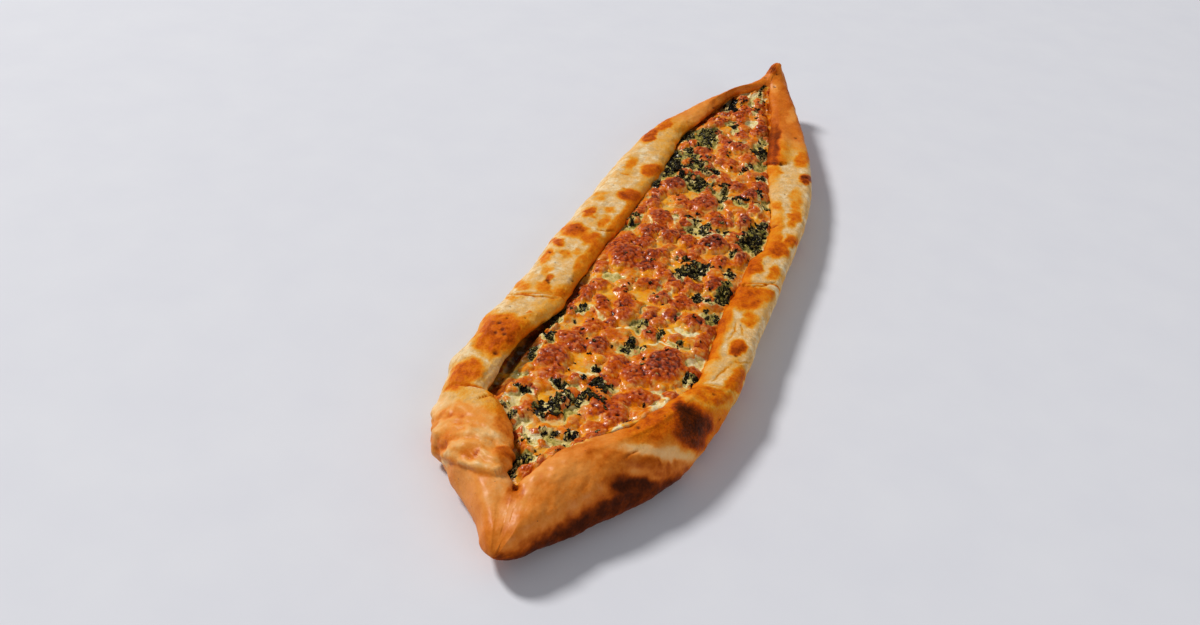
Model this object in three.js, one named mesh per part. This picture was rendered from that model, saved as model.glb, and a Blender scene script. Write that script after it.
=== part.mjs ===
// Spinach pide: a boat-shaped flatbread whose long edges are folded in over a
// baked filling of cheese and spinach, with both ends pinched to a point.
// Millimetres, +Z up. The bread lies flat on z = 0, +Y runs along it from the
// low pinched end to the raised one, and the origin is under its middle.

import * as THREE from "three";

// Driving dimensions of the whole bread.
const LENGTH = 380;
const HALF = LENGTH / 2;
const DOUGH_FLOOR = 5.5;
const GAP = 0.4;

// The ends round off over these lengths, about a core point of the section.
const LOW_TIP = { round: 7, x: 1.8, z: 9.4 };
const HIGH_TIP = { round: 11, x: 4.6, z: 25.6 };

// Sizes of the folded rim. A flap's middle stands this much above a straight
// line between its outer shoulder and its lip.
const LIP_HALF_THICKNESS = 2.4;
const CONVEX = 0.5;
const FOOT_INSET = 8;
const STATION_STEP = 4.8;

// Each list below gives [distance along the bread, size] and is read through a
// smooth curve. Plan positions run across the bread, heights above the table.
// The tuck is how much of the foot's inset is left just above the foot. The rim
// is widest at one share of its crown's height, and the crown sits at the
// shoulder's share of its width.
const LEFT_RIM = {
  sign: -1,
  tuck: [[-190, 0.09], [190, 0.09]],
  widest: [[-190, 0.5], [190, 0.5]],
  shoulder: [[-190, 0.25], [190, 0.25]],
  edge: [[-190, -3.6], [-184, -5.2], [-178, -9.4], [-170, -17], [-162, -27.8], [-153, -34.9], [-143, -41.2],
    [-131, -46.2], [-119, -49.6], [-108, -52.3], [-94, -51.6], [-79, -53.2], [-66, -52.2], [-38, -50.9],
    [-10, -51.3], [20, -50], [50, -49.8], [75, -48.6], [92, -47], [106, -44.4], [121, -38.4],
    [136, -31.4], [150, -23.6], [160, -17], [168, -11], [175, -5.8], [182, -1.6], [190, 1]],
  lip: [[-190, 2.6], [-183, 1.8], [-176, 0.6], [-171, -0.4], [-166, -2.4], [-160, -7.2], [-154, -8.6],
    [-148, -9.4], [-142, -12.4], [-137, -16.6], [-129.6, -25], [-125.4, -29.4], [-114, -31], [-104, -32],
    [-88, -30.6], [-74, -27], [-65, -25], [-30, -25], [30, -23.4], [70, -23.2], [96, -25], [110, -24],
    [124, -20.8], [140, -17.4], [150, -14.8], [158, -12], [164, -6.4], [168.5, 1], [174, 3],
    [190, 4.2]],
  lipTop: [[-190, 14], [-178, 16], [-166, 18.2], [-150, 20], [-138, 19.6], [-129.6, 18.8], [-125.4, 17.2],
    [-90, 17.2], [-30, 16.6], [40, 16.2], [90, 16.6], [120, 17.6], [145, 19], [158, 20.4], [168, 22.8],
    [178, 27.2], [185, 30.4], [190, 31.4]],
  crown: [[-190, 13], [-172, 16], [-150, 17.6], [-128, 16], [-100, 15.6], [0, 15.2], [80, 15.2],
    [115, 16.2], [145, 17.8], [160, 18.6], [170, 20.4], [180, 23.6], [190, 25.4]],
  round: [[-190, 2], [-165, 4], [-145, 5], [-128, 2.6], [-60, 2.4], [60, 2.4], [120, 3.4], [165, 3],
    [190, 2]],
  undercut: [[-190, 0], [-170, 0.2], [-158, 2], [-144, 4], [-129, 3], [-100, 3.6], [-60, 2.8], [60, 2],
    [110, 3], [145, 2.2], [160, 0.8], [170, 0], [190, 0]],
};
const RIGHT_RIM = {
  sign: 1,
  tuck: [[-190, 0.09], [-122, 0.09], [-88, 0.4], [120, 0.4], [165, 0.15], [190, 0.15]],
  widest: [[-190, 0.46], [-122, 0.46], [-88, 0.76], [120, 0.76], [165, 0.6], [190, 0.6]],
  shoulder: [[-190, 0.25], [-122, 0.25], [-88, 0.1], [120, 0.1], [165, 0.17], [190, 0.17]],
  edge: [[-190, 6.6], [-184, 8.8], [-178, 12.6], [-170, 18], [-160, 25], [-149, 32.4], [-139, 38.6],
    [-128, 43.6], [-116, 47.4], [-100, 50.6], [-84, 52.4], [-68, 52.6], [-40, 51.4], [-16, 51.8], [4, 51.4],
    [40, 51.4], [62, 50], [80, 47.4], [95, 44], [115, 38.4], [135, 31.8], [155, 24.4], [168, 18.4],
    [178, 13.6], [184, 10.8], [190, 8.2]],
  lip: [[-190, 4.2], [-183, 3.2], [-176, 1.8], [-171, 0.8], [-166, -0.6], [-163, 0], [-158, 2.8],
    [-150, 5.6], [-144, 10.6], [-133.4, 19], [-125.4, 25], [-111.6, 30.6], [-97, 34.8], [-84, 37],
    [-72, 36.6], [-58, 35.4], [-40, 34.8], [-20, 35.8], [0, 35.4], [12, 38.6], [22, 38.4], [40, 35.8],
    [56, 32], [72, 27.8], [88, 23.8], [104, 20.8], [124, 16.8], [142, 12.4], [156, 8.8], [165, 6],
    [174, 4.6], [190, 5.6]],
  lipTop: [[-190, 14.4], [-178, 17.2], [-166, 19.2], [-156, 21.2], [-144, 22.4], [-126, 22.4],
    [-112, 21.6], [-102, 19.6], [-94, 17.8], [-84, 16.8], [-40, 16.4], [40, 16.4], [84, 16.8],
    [110, 17.8], [140, 19.6], [160, 21.8], [172, 25], [184, 30.4], [190, 31.4]],
  crown: [[-190, 13.2], [-176, 15.4], [-160, 16.8], [-144, 18], [-128, 18.2], [-112, 17.4], [-98, 16.2],
    [-60, 15.8], [20, 15.6], [80, 16], [110, 17.2], [140, 18.8], [165, 21], [178, 23.8], [190, 25.6]],
  round: [[-190, 2], [-165, 4.6], [-150, 7], [-120, 8], [-100, 5], [-84, 2.8], [80, 2.8], [120, 3.6],
    [165, 3], [190, 2]],
  undercut: [[-190, 0], [-170, 0], [-150, 0.8], [-100, 1.4], [-60, 1.6], [80, 1.6], [145, 1.2],
    [160, 0.6], [170, 0], [190, 0]],
};
const UNDERSIDE = [[-190, 6], [-182, 3.4], [-173, 1], [-163, 0], [148, 0], [158, 1.2], [168, 4.4],
  [180, 10.6], [190, 16]];
const CAVITY_FLOOR_RISE = [[-190, 1], [-172, 1], [-162, 0.6], [-150, 0], [152, 0], [162, 0.5],
  [171, 1], [190, 1]];
const SEAM_DEPTH = [[-190, 0.1], [-180, 0.15], [-173, 0.6], [-166, 2], [-160, 2.6], [160, 3],
  [168, 2.4], [172, 1.2], [176, 0.4], [182, 0.15], [190, 0.1]];

// Cuts across the rim: where each lies along the bread, how far it slants over
// a millimetre of the rim's width, and how deep it is.
const CUTS = [
  { rim: LEFT_RIM, y: -127.4, slant: 0.1, depth: 2.2 },
  { rim: LEFT_RIM, y: -61, slant: 0.29, depth: 1.1 },
  { rim: RIGHT_RIM, y: -20, slant: 0.46, depth: 1.3 },
  { rim: RIGHT_RIM, y: -93, slant: 0.3, depth: 0.9 },
];
const CUT_HALF_WIDTH = 1.2;
const CUT_SLANT_REACH = 13;

// The filling: its ends, its height along the middle, and how far it drops
// towards the rim on each side.
const FILLING_START = -164;
const FILLING_END = 169;
const FILLING_TOP = [[-163, 17], [-152, 16.6], [-130, 15.8], [-100, 15.2], [0, 15], [90, 15],
  [130, 15.6], [152, 16.8], [162, 18.6], [170, 20.2]];
const LEFT_DROP = [[-164, 1.6], [-148, 2.6], [-125, 4.6], [-90, 5.8], [-66, 4.2], [-45, 2.4], [-20, 1.4],
  [60, 1.2], [100, 3.4], [145, 4], [160, 2], [170, 1]];
const RIGHT_DROP = [[-164, 0.4], [-150, -3.2], [-130, -5], [-112, -3.4], [-96, 0.2], [-80, 1.6], [0, 1.8],
  [80, 1.4], [150, 2], [170, 1]];
const DROP_REACH = 7;

// The largest browned lumps of cheese: centre across and along, half width,
// half length, height.
const MAIN_LUMPS = [
  [22, -86, 9.5, 14, 2.6], [-13, -89, 9, 10, 2.6], [-15, -19, 8.5, 11, 2.8], [-1, -61, 6, 6.5, 2],
  [5, -93, 4.5, 8, 1.6], [10, -118, 7.5, 9, 1.8], [-10, -107, 7, 5, 1.6], [-14, -126, 3.8, 3.6, 1.8],
  [25, -51, 5.2, 6, 2], [9, -40, 4, 5, 1.8], [26, -22, 5, 8, 2], [6, -25, 5, 4.4, 1.8],
  [-4, -9, 4.6, 6.4, 1.8], [-3, 5, 5.2, 5.4, 2.4], [7, 5, 5, 5.4, 2.2], [18, 7, 6.4, 8, 2.8],
  [30, 3, 4.6, 6, 1.8], [-14, 51, 6.6, 7.4, 2.8], [5, 41, 7, 8.6, 2.4], [-18, 37, 5.4, 6, 2],
  [25, 33, 5.4, 7, 2], [15, 23, 6.6, 6, 1.8], [16, 61, 6, 6.4, 1.8], [-12, 88, 5.4, 4.6, 1.8],
  [4, 104, 8, 6.4, 2], [11, 126, 5.4, 5.4, 1.8], [-3, 144, 4.6, 5, 1.6], [-7, 161, 4.2, 5, 1.8],
  [-24, -66, 3.4, 5, 1.4], [6, -142, 5, 4, 1.4],
];
const SMALL_LUMPS = { count: 150, seed: 27, minRadius: 2.6, maxRadius: 4.6, height: 1.1 };

// Wilted spinach leaves that lie on the cheese: centre, heading in degrees,
// half length and half width.
const LEAVES = [
  [-8.6, 147, 14, 10, 3.8], [7, -110, 20, 7.6, 4.2], [-6, -124, -32, 9, 4.4], [31, 22, 6, 10, 4],
  [-1, 56, 60, 7.4, 4.4], [14, -17, 30, 8.4, 4.6], [-16, 71, -14, 8.8, 4], [15.4, 102, 8, 6.8, 3.6],
];
const LEAF_THICKNESS = 0.9;
const LEAF_WAVE = 0.7;
const LEAF_ROWS = 6;
const LEAF_COLUMNS = 4;

const COLOURS = {
  crust: { color: 0xd9a262, roughness: 0.62, metalness: 0 },
  filling: { color: 0xd07a2c, roughness: 0.42, metalness: 0 },
  leaf: { color: 0x37461f, roughness: 0.45, metalness: 0 },
};

const smoothStep = (t) => {
  const u = Math.min(1, Math.max(0, t));
  return u * u * (3 - 2 * u);
};
const mix = (a, b, t) => a + (b - a) * t;

// A smooth curve through [position, value] pairs that never overshoots them.
function smoothCurve(knots) {
  const secant = (i) => (knots[i + 1][1] - knots[i][1]) / (knots[i + 1][0] - knots[i][0]);
  const slope = (i) => {
    if (i === 0 || i === knots.length - 1) return 0;
    const before = secant(i - 1);
    const after = secant(i);
    return before * after <= 0 ? 0 : (2 * before * after) / (before + after);
  };
  return (at) => {
    const y = Math.min(knots[knots.length - 1][0], Math.max(knots[0][0], at));
    let i = 0;
    while (i < knots.length - 2 && y > knots[i + 1][0]) i += 1;
    const span = knots[i + 1][0] - knots[i][0];
    const t = (y - knots[i][0]) / span;
    const rise = knots[i + 1][1] - knots[i][1];
    const a = slope(i) * span;
    const b = slope(i + 1) * span;
    return knots[i][1] + t * (a + t * (3 * rise - 2 * a - b + t * (a + b - 2 * rise)));
  };
}

for (const rim of [LEFT_RIM, RIGHT_RIM]) {
  const sizes = Object.keys(rim).filter((key) => key !== "sign");
  for (const key of sizes) rim[key] = smoothCurve(rim[key]);
}
const underside = smoothCurve(UNDERSIDE);
const floorRise = smoothCurve(CAVITY_FLOOR_RISE);
const seamDepth = smoothCurve(SEAM_DEPTH);
const fillingTop = smoothCurve(FILLING_TOP);
const leftDrop = smoothCurve(LEFT_DROP);
const rightDrop = smoothCurve(RIGHT_DROP);

// A small seeded generator, so every run draws the same numbers.
function seededRandom(seed) {
  let state = seed >>> 0;
  return () => {
    state = (state + 0x6d2b79f5) >>> 0;
    let t = Math.imul(state ^ (state >>> 15), state | 1);
    t = (t + Math.imul(t ^ (t >>> 7), t | 61)) ^ t;
    return ((t ^ (t >>> 14)) >>> 0) / 4294967296;
  };
}

// The cavity floor lies on the dough floor along the middle, and rises to the
// bottom of the seam where the two rims close on each other.
function cavityFloor(y) {
  const seam = Math.min(LEFT_RIM.lipTop(y), RIGHT_RIM.lipTop(y)) - seamDepth(y);
  return mix(underside(y) + DOUGH_FLOOR, seam, floorRise(y));
}

// How far a cut sinks the top of one rim at a station.
function cutDepth(rim, y) {
  let depth = 0;
  for (const cut of CUTS) {
    const away = Math.abs(y - cut.y) / CUT_HALF_WIDTH;
    if (cut.rim === rim && away < 1) depth = Math.max(depth, cut.depth * (1 - away));
  }
  return depth;
}

// The stations lean with the cuts, so each cut runs aslant over its rim.
function leanedStation(x, y) {
  let lean = 0;
  for (const cut of CUTS) {
    const outward = Math.max(0, cut.rim.sign * (x - cut.rim.lip(y)));
    const near = Math.exp(-(((y - cut.y) / CUT_SLANT_REACH) ** 2));
    lean += cut.rim.sign * outward * cut.slant * near;
  }
  return y + lean;
}

// One rim's section at a station, from the foot on the table round the outer
// bulge, over the folded flap and its lip, and down the cavity wall.
function rimSection(rim, y) {
  const edge = rim.edge(y);
  const lip = rim.lip(y);
  const width = Math.max(2, rim.sign * (edge - lip));
  const bottom = underside(y);
  const crown = rim.crown(y) - 0.35 * cutDepth(rim, y);
  const lipTop = rim.lipTop(y) - cutDepth(rim, y);
  const floor = Math.min(cavityFloor(y), lipTop - 0.5);
  const nose = Math.min(LIP_HALF_THICKNESS, 0.42 * (lipTop - floor));
  const foot = Math.min(FOOT_INSET, 0.5 * width);
  const round = Math.min(rim.round(y), 0.36 * width);
  const wall = width - rim.undercut(y);
  const at = (inset, z) => new THREE.Vector3(edge - rim.sign * inset, z, 0);
  const curve = new THREE.CatmullRomCurve3([
    at(foot, bottom),
    at(rim.tuck(y) * foot, mix(bottom, crown, 0.22)),
    at(0, mix(bottom, crown, rim.widest(y))),
    at(rim.shoulder(y) * width, crown),
    at(0.58 * width, mix(crown, lipTop, 0.75) + CONVEX),
    at(width - round, lipTop),
    at(width, lipTop - nose),
    at(width - 0.5 * nose, lipTop - 2 * nose),
  ], false, "centripetal");
  const steps = [2, 2, 3, 3, 3, 3, 2];
  const points = [];
  steps.forEach((count, segment) => {
    for (let k = 0; k < count; k += 1) {
      const p = curve.getPoint((segment + k / count) / steps.length);
      points.push([p.x, p.y]);
    }
  });
  const under = curve.getPoint(1);
  points.push([under.x, under.y]);
  const wallX = edge - rim.sign * Math.min(wall, width - 0.5 * nose);
  points.push([wallX, Math.max(mix(floor, lipTop - 2 * nose, 0.7), lipTop - 2.25 * nose)]);
  points.push([wallX, floor]);
  return points;
}

// A whole closed section of the bread, anticlockwise as seen from the low end.
function crustSection(y) {
  const left = rimSection(LEFT_RIM, y);
  const right = rimSection(RIGHT_RIM, y);
  const leftFoot = left[0];
  const rightFoot = right[0];
  const leftFloor = left[left.length - 1];
  const rightFloor = right[right.length - 1];
  const across = (a, b, t) => [mix(a[0], b[0], t), mix(a[1], b[1], t)];
  return [
    ...right,
    across(rightFloor, leftFloor, 0.33),
    across(rightFloor, leftFloor, 0.67),
    ...left.slice().reverse(),
    across(leftFoot, rightFoot, 0.33),
    across(leftFoot, rightFoot, 0.67),
  ];
}

// Past the start of a tip the section shrinks towards the tip's core point.
function tipScale(y) {
  const tip = y < 0 ? LOW_TIP : HIGH_TIP;
  const past = (Math.abs(y) - (HALF - tip.round)) / tip.round;
  return past <= 0 ? 1 : Math.sqrt(Math.max(0, 1 - past * past));
}

function crustStations() {
  const list = [];
  const start = LOW_TIP.round + 1 - HALF;
  const end = HALF - HIGH_TIP.round;
  const count = Math.round((end - start) / STATION_STEP);
  for (let i = 0; i <= count; i += 1) list.push(mix(start, end, i / count));
  for (const part of [0.45, 0.75, 0.93]) {
    list.push(-HALF + LOW_TIP.round * (1 - part));
    list.push(HALF - HIGH_TIP.round * (1 - part));
  }
  const clear = list.filter((y) => CUTS.every((cut) => Math.abs(y - cut.y) > 2.2));
  for (const cut of CUTS) clear.push(cut.y - CUT_HALF_WIDTH, cut.y, cut.y + CUT_HALF_WIDTH);
  return clear.sort((a, b) => a - b);
}
const STATIONS = crustStations();

// Joins closed loops of equally many points into one closed skin, and shuts
// each end with a fan about that loop's middle.
function loftedBody(loops) {
  const size = loops[0].length;
  const positions = loops.flat(2);
  const faces = [];
  for (let i = 0; i + 1 < loops.length; i += 1) {
    for (let k = 0; k < size; k += 1) {
      const a = i * size + k;
      const b = i * size + ((k + 1) % size);
      faces.push(a, b + size, b, a, a + size, b + size);
    }
  }
  for (const end of [0, loops.length - 1]) {
    const middle = [0, 1, 2].map((axis) => loops[end].reduce((sum, p) => sum + p[axis], 0) / size);
    const hub = positions.length / 3;
    positions.push(...middle);
    for (let k = 0; k < size; k += 1) {
      const a = end * size + k;
      const b = end * size + ((k + 1) % size);
      if (end === 0) faces.push(hub, a, b);
      else faces.push(hub, b, a);
    }
  }
  const geometry = new THREE.BufferGeometry();
  geometry.setAttribute("position", new THREE.Float32BufferAttribute(positions, 3));
  geometry.setIndex(faces);
  geometry.computeVertexNormals();
  return geometry;
}

function crustGeometry() {
  return loftedBody(STATIONS.map((y) => {
    const scale = tipScale(y);
    const tip = y < 0 ? LOW_TIP : HIGH_TIP;
    return crustSection(y).map(([x, z]) => [
      mix(tip.x, x, scale),
      leanedStation(x, y),
      mix(tip.z, z, scale),
    ]);
  }));
}

// Every lump of cheese, the main ones first and then the small ones.
function allLumps() {
  const random = seededRandom(SMALL_LUMPS.seed);
  const lumps = MAIN_LUMPS.map(([x, y, halfWidth, halfLength, height]) => (
    { x, y, halfWidth, halfLength, height }));
  for (let i = 0; i < SMALL_LUMPS.count; i += 1) {
    const y = mix(FILLING_START, FILLING_END, random());
    const x = mix(LEFT_RIM.lip(y), RIGHT_RIM.lip(y), random());
    const radius = mix(SMALL_LUMPS.minRadius, SMALL_LUMPS.maxRadius, random());
    lumps.push({ x, y, halfWidth: radius, halfLength: radius, height: SMALL_LUMPS.height });
  }
  return lumps;
}
const LUMPS = allLumps();

// Height that the lumps add, as the tallest of them at that place.
function lumpHeight(x, y) {
  let height = 0;
  for (const lump of LUMPS) {
    const away = Math.hypot((x - lump.x) / lump.halfWidth, (y - lump.y) / lump.halfLength);
    if (away < 1) height = Math.max(height, lump.height * (1 - away * away) ** 0.7);
  }
  return height;
}

// Leaves press the lumps under them flat.
function pressedByLeaf(x, y) {
  let pressed = 0;
  for (const [cx, cy, heading, halfLength, halfWidth] of LEAVES) {
    const angle = THREE.MathUtils.degToRad(heading);
    const along = (x - cx) * -Math.sin(angle) + (y - cy) * Math.cos(angle);
    const across = (x - cx) * Math.cos(angle) + (y - cy) * Math.sin(angle);
    const away = Math.hypot(along / (halfLength + 2.5), across / (halfWidth + 2.5));
    pressed = Math.max(pressed, smoothStep((1.15 - away) / 0.4));
  }
  return pressed;
}

// The top of the filling at a place between the two lips.
function fillingHeight(x, y) {
  const fromLeft = x - LEFT_RIM.lip(y);
  const fromRight = RIGHT_RIM.lip(y) - x;
  const leftSink = leftDrop(y) * (1 - smoothStep(fromLeft / DROP_REACH));
  const rightSink = rightDrop(y) * (1 - smoothStep(fromRight / DROP_REACH));
  const free = smoothStep(Math.min(fromLeft, fromRight) / 4);
  const lumps = lumpHeight(x, y) * free * (1 - pressedByLeaf(x, y));
  return fillingTop(y) - leftSink - rightSink + lumps;
}

// A section of the filling: its top between the lips, and its skirt that runs
// in under the flaps and down to the dough floor.
const FILLING_COLUMNS = 21;
function fillingSection(y) {
  const section = (rim) => {
    const points = rimSection(rim, y);
    const [wallX, shelf] = points[points.length - 2];
    return { nose: rim.lip(y) - rim.sign * 0.6, wall: wallX - rim.sign * GAP, shelf };
  };
  const left = section(LEFT_RIM);
  const right = section(RIGHT_RIM);
  const floor = cavityFloor(y) + GAP;
  const skirt = (side, z) => Math.max(floor + 0.4, Math.min(side.shelf - 1.1, z - 0.8));
  const top = [];
  for (let k = 0; k <= FILLING_COLUMNS; k += 1) {
    const x = mix(right.nose, left.nose, k / FILLING_COLUMNS);
    top.push([x, Math.max(floor + 0.8, fillingHeight(x, y))]);
  }
  return [
    [right.wall, floor],
    [right.wall, skirt(right, top[0][1])],
    ...top,
    [left.wall, skirt(left, top[FILLING_COLUMNS][1])],
    [left.wall, floor],
    [mix(left.wall, right.wall, 0.33), floor],
    [mix(left.wall, right.wall, 0.67), floor],
  ];
}

function fillingGeometry() {
  const inside = STATIONS.filter((y) => y >= FILLING_START && y <= FILLING_END);
  return loftedBody(inside.map((y) => (
    fillingSection(y).map(([x, z]) => [x, leanedStation(x, y), z]))));
}

// A leaf is a thin wavy sheet. Its outline is pointed at both ends, and it
// stands just clear of the cheese under it.
function leafMesh([cx, cy, heading, halfLength, halfWidth], name, material) {
  const angle = THREE.MathUtils.degToRad(heading);
  const clearHeight = (x, y) => {
    let height = 0;
    for (const dx of [-2.4, 0, 2.4]) {
      for (const dy of [-4.6, -2.3, 0, 2.3, 4.6]) {
        height = Math.max(height, fillingHeight(x + dx, y + dy));
      }
    }
    return height + GAP;
  };
  const base = clearHeight(cx, cy);
  const lower = [];
  for (let i = 0; i <= LEAF_ROWS; i += 1) {
    const u = mix(-1, 1, i / LEAF_ROWS);
    const reach = halfWidth * (0.14 + 0.86 * Math.sqrt(1 - u * u));
    for (let j = 0; j <= LEAF_COLUMNS; j += 1) {
      const v = mix(-1, 1, j / LEAF_COLUMNS);
      const along = u * halfLength;
      const across = v * reach * (1 + 0.18 * Math.sin(5 * u + cy));
      const x = cx + across * Math.cos(angle) - along * Math.sin(angle);
      const y = cy + across * Math.sin(angle) + along * Math.cos(angle);
      const wave = LEAF_WAVE * (0.5 + 0.5 * Math.sin(4 * u + 2.2 * v + cx));
      lower.push([across, along, clearHeight(x, y) - base + wave]);
    }
  }
  const upper = lower.map(([x, y, z]) => [x, y, z + LEAF_THICKNESS]);
  const faces = [];
  const wide = LEAF_COLUMNS + 1;
  for (let i = 0; i < LEAF_ROWS; i += 1) {
    for (let j = 0; j < LEAF_COLUMNS; j += 1) {
      const a = i * wide + j;
      const corners = [a, a + 1, a + wide + 1, a + wide];
      const lifted = corners.map((index) => index + lower.length);
      faces.push(lifted[0], lifted[1], lifted[2], lifted[0], lifted[2], lifted[3]);
      faces.push(corners[0], corners[2], corners[1], corners[0], corners[3], corners[2]);
    }
  }
  const rimLoop = [];
  for (let j = 0; j < LEAF_COLUMNS; j += 1) rimLoop.push(j);
  for (let i = 0; i < LEAF_ROWS; i += 1) rimLoop.push(i * wide + LEAF_COLUMNS);
  for (let j = LEAF_COLUMNS; j > 0; j -= 1) rimLoop.push(LEAF_ROWS * wide + j);
  for (let i = LEAF_ROWS; i > 0; i -= 1) rimLoop.push(i * wide);
  rimLoop.forEach((a, k) => {
    const b = rimLoop[(k + 1) % rimLoop.length];
    faces.push(a, b, b + lower.length, a, b + lower.length, a + lower.length);
  });
  const geometry = new THREE.BufferGeometry();
  geometry.setAttribute("position", new THREE.Float32BufferAttribute([...lower, ...upper].flat(), 3));
  geometry.setIndex(faces);
  geometry.computeVertexNormals();
  const mesh = namedMesh(name, geometry, material);
  mesh.position.set(cx, cy, base);
  mesh.rotation.z = angle;
  return mesh;
}

function namedMesh(name, geometry, finish) {
  const mesh = new THREE.Mesh(geometry, new THREE.MeshStandardMaterial(finish));
  mesh.name = name;
  return mesh;
}

const pide = new THREE.Group();
pide.add(namedMesh("dough_crust", crustGeometry(), COLOURS.crust));
pide.add(namedMesh("spinach_cheese_filling", fillingGeometry(), COLOURS.filling));
LEAVES.forEach((leaf, index) => {
  pide.add(leafMesh(leaf, `spinach_leaf_${index + 1}`, COLOURS.leaf));
});

export default pide;
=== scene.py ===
"""Spinach pide: a boat-shaped flatbread with folded edges and a baked filling of
cheese and spinach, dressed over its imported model.

Sizes are millimetres in the model's frame, and become metres as a mesh is made.
"""
import itertools
import math

import bpy
import numpy as np
from mathutils import Matrix, Vector


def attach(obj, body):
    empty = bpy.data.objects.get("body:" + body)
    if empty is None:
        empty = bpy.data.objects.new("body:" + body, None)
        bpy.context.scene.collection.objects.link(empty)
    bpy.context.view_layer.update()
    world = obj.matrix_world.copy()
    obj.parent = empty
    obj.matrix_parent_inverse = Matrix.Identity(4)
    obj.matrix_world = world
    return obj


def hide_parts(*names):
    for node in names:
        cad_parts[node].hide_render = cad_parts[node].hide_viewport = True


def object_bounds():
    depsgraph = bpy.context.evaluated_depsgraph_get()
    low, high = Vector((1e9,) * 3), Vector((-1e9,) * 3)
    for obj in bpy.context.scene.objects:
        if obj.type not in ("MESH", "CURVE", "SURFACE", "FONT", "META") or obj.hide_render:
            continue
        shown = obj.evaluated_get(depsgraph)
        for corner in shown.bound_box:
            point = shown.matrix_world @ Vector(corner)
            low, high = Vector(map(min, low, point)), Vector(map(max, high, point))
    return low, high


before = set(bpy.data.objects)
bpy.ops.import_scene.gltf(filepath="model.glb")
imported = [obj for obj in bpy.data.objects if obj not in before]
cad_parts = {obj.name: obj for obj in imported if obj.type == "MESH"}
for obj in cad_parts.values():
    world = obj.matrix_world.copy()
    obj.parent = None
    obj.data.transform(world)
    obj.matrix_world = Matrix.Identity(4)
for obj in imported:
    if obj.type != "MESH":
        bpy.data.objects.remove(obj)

CAD_BOX = [list(corner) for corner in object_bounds()]
MM = 0.001
MM_PER_METRE = 1000

# The camera: where it stands, how it is turned, and its focal length in pixels of
# a frame of that width.
CAMERA_PLACE = (91.609, -401.307, 265.857)
CAMERA_RIGHT = (0.93779, 0.33843, 0.07755)
CAMERA_UP = (-0.25654, 0.52490, 0.81159)
CAMERA_FORWARD = (-0.23396, 0.78099, -0.57906)
SENSOR_WIDTH = 36.0
FRAME_PIXELS = 1200
FOCAL_PIXELS = 1108.716

# Round soft lights that face the bread: name, place in metres, size, power, colour.
LIGHTS = [
    ("key", (-4.4, 1.4, 4.4), 1.3, 348, (1.0, 0.985, 0.96)),
    ("fill", (3.4, -2.0, 1.8), 2.4, 32, (1.0, 0.98, 0.96)),
]
SKY_COLOUR = (0.93, 0.95, 1.0, 1)
SKY_STRENGTH = 0.275
# The floor of the picture: half its width and how far it lies below the bread, in metres.
FLOOR_REACH = 4
FLOOR_DROP = 0.0003

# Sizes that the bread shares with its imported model.
LENGTH = 380
HALF = LENGTH / 2
DOUGH_FLOOR = 5.5
GAP = 0.4
# The tips: over what length each is rounded off, and where its point lies.
LOW_TIP = {"round": 7, "x": 1.8, "z": 9.4}
HIGH_TIP = {"round": 11, "x": 4.6, "z": 25.6}
LIP_HALF_THICKNESS = 2.4
CONVEX = 0.5
FOOT_INSET = 8
LEFT_RIM = {
    "sign": -1,
    "tuck": [(-190, 0.09), (190, 0.09)],
    "widest": [(-190, 0.5), (190, 0.5)],
    "shoulder": [(-190, 0.25), (190, 0.25)],
    "edge": [(-190, -3.6), (-184, -5.2), (-178, -9.4), (-170, -17), (-162, -27.8), (-153, -34.9),
             (-143, -41.2), (-131, -46.2), (-119, -49.6), (-108, -52.3), (-94, -51.6), (-79, -53.2),
             (-66, -52.2), (-38, -50.9), (-10, -51.3), (20, -50), (50, -49.8), (75, -48.6), (92, -47),
             (106, -44.4), (121, -38.4), (136, -31.4), (150, -23.6), (160, -17), (168, -11),
             (175, -5.8), (182, -1.6), (190, 1)],
    "lip": [(-190, 2.6), (-183, 1.8), (-176, 0.6), (-171, -0.4), (-166, -2.4), (-160, -7.2), (-154, -8.6),
            (-148, -9.4), (-142, -12.4), (-137, -16.6), (-129.6, -25), (-125.4, -29.4), (-114, -31),
            (-104, -32), (-88, -30.6), (-74, -27), (-65, -25), (-30, -25), (30, -23.4), (70, -23.2),
            (96, -25), (110, -24), (124, -20.8), (140, -17.4), (150, -14.8), (158, -12), (164, -6.4),
            (168.5, 1), (174, 3), (190, 4.2)],
    "lip_top": [(-190, 14), (-178, 16), (-166, 18.2), (-150, 20), (-138, 19.6), (-129.6, 18.8),
                (-125.4, 17.2), (-90, 17.2), (-30, 16.6), (40, 16.2), (90, 16.6), (120, 17.6), (145, 19),
                (158, 20.4), (168, 22.8), (178, 27.2), (185, 30.4), (190, 31.4)],
    "crown": [(-190, 13), (-172, 16), (-150, 17.6), (-128, 16), (-100, 15.6), (0, 15.2), (80, 15.2),
              (115, 16.2), (145, 17.8), (160, 18.6), (170, 20.4), (180, 23.6), (190, 25.4)],
    "round": [(-190, 2), (-165, 4), (-145, 5), (-128, 2.6), (-60, 2.4), (60, 2.4), (120, 3.4), (165, 3),
              (190, 2)],
    "undercut": [(-190, 0), (-170, 0.2), (-158, 2), (-144, 4), (-129, 3), (-100, 3.6), (-60, 2.8),
                 (60, 2), (110, 3), (145, 2.2), (160, 0.8), (170, 0), (190, 0)],
}
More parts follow.
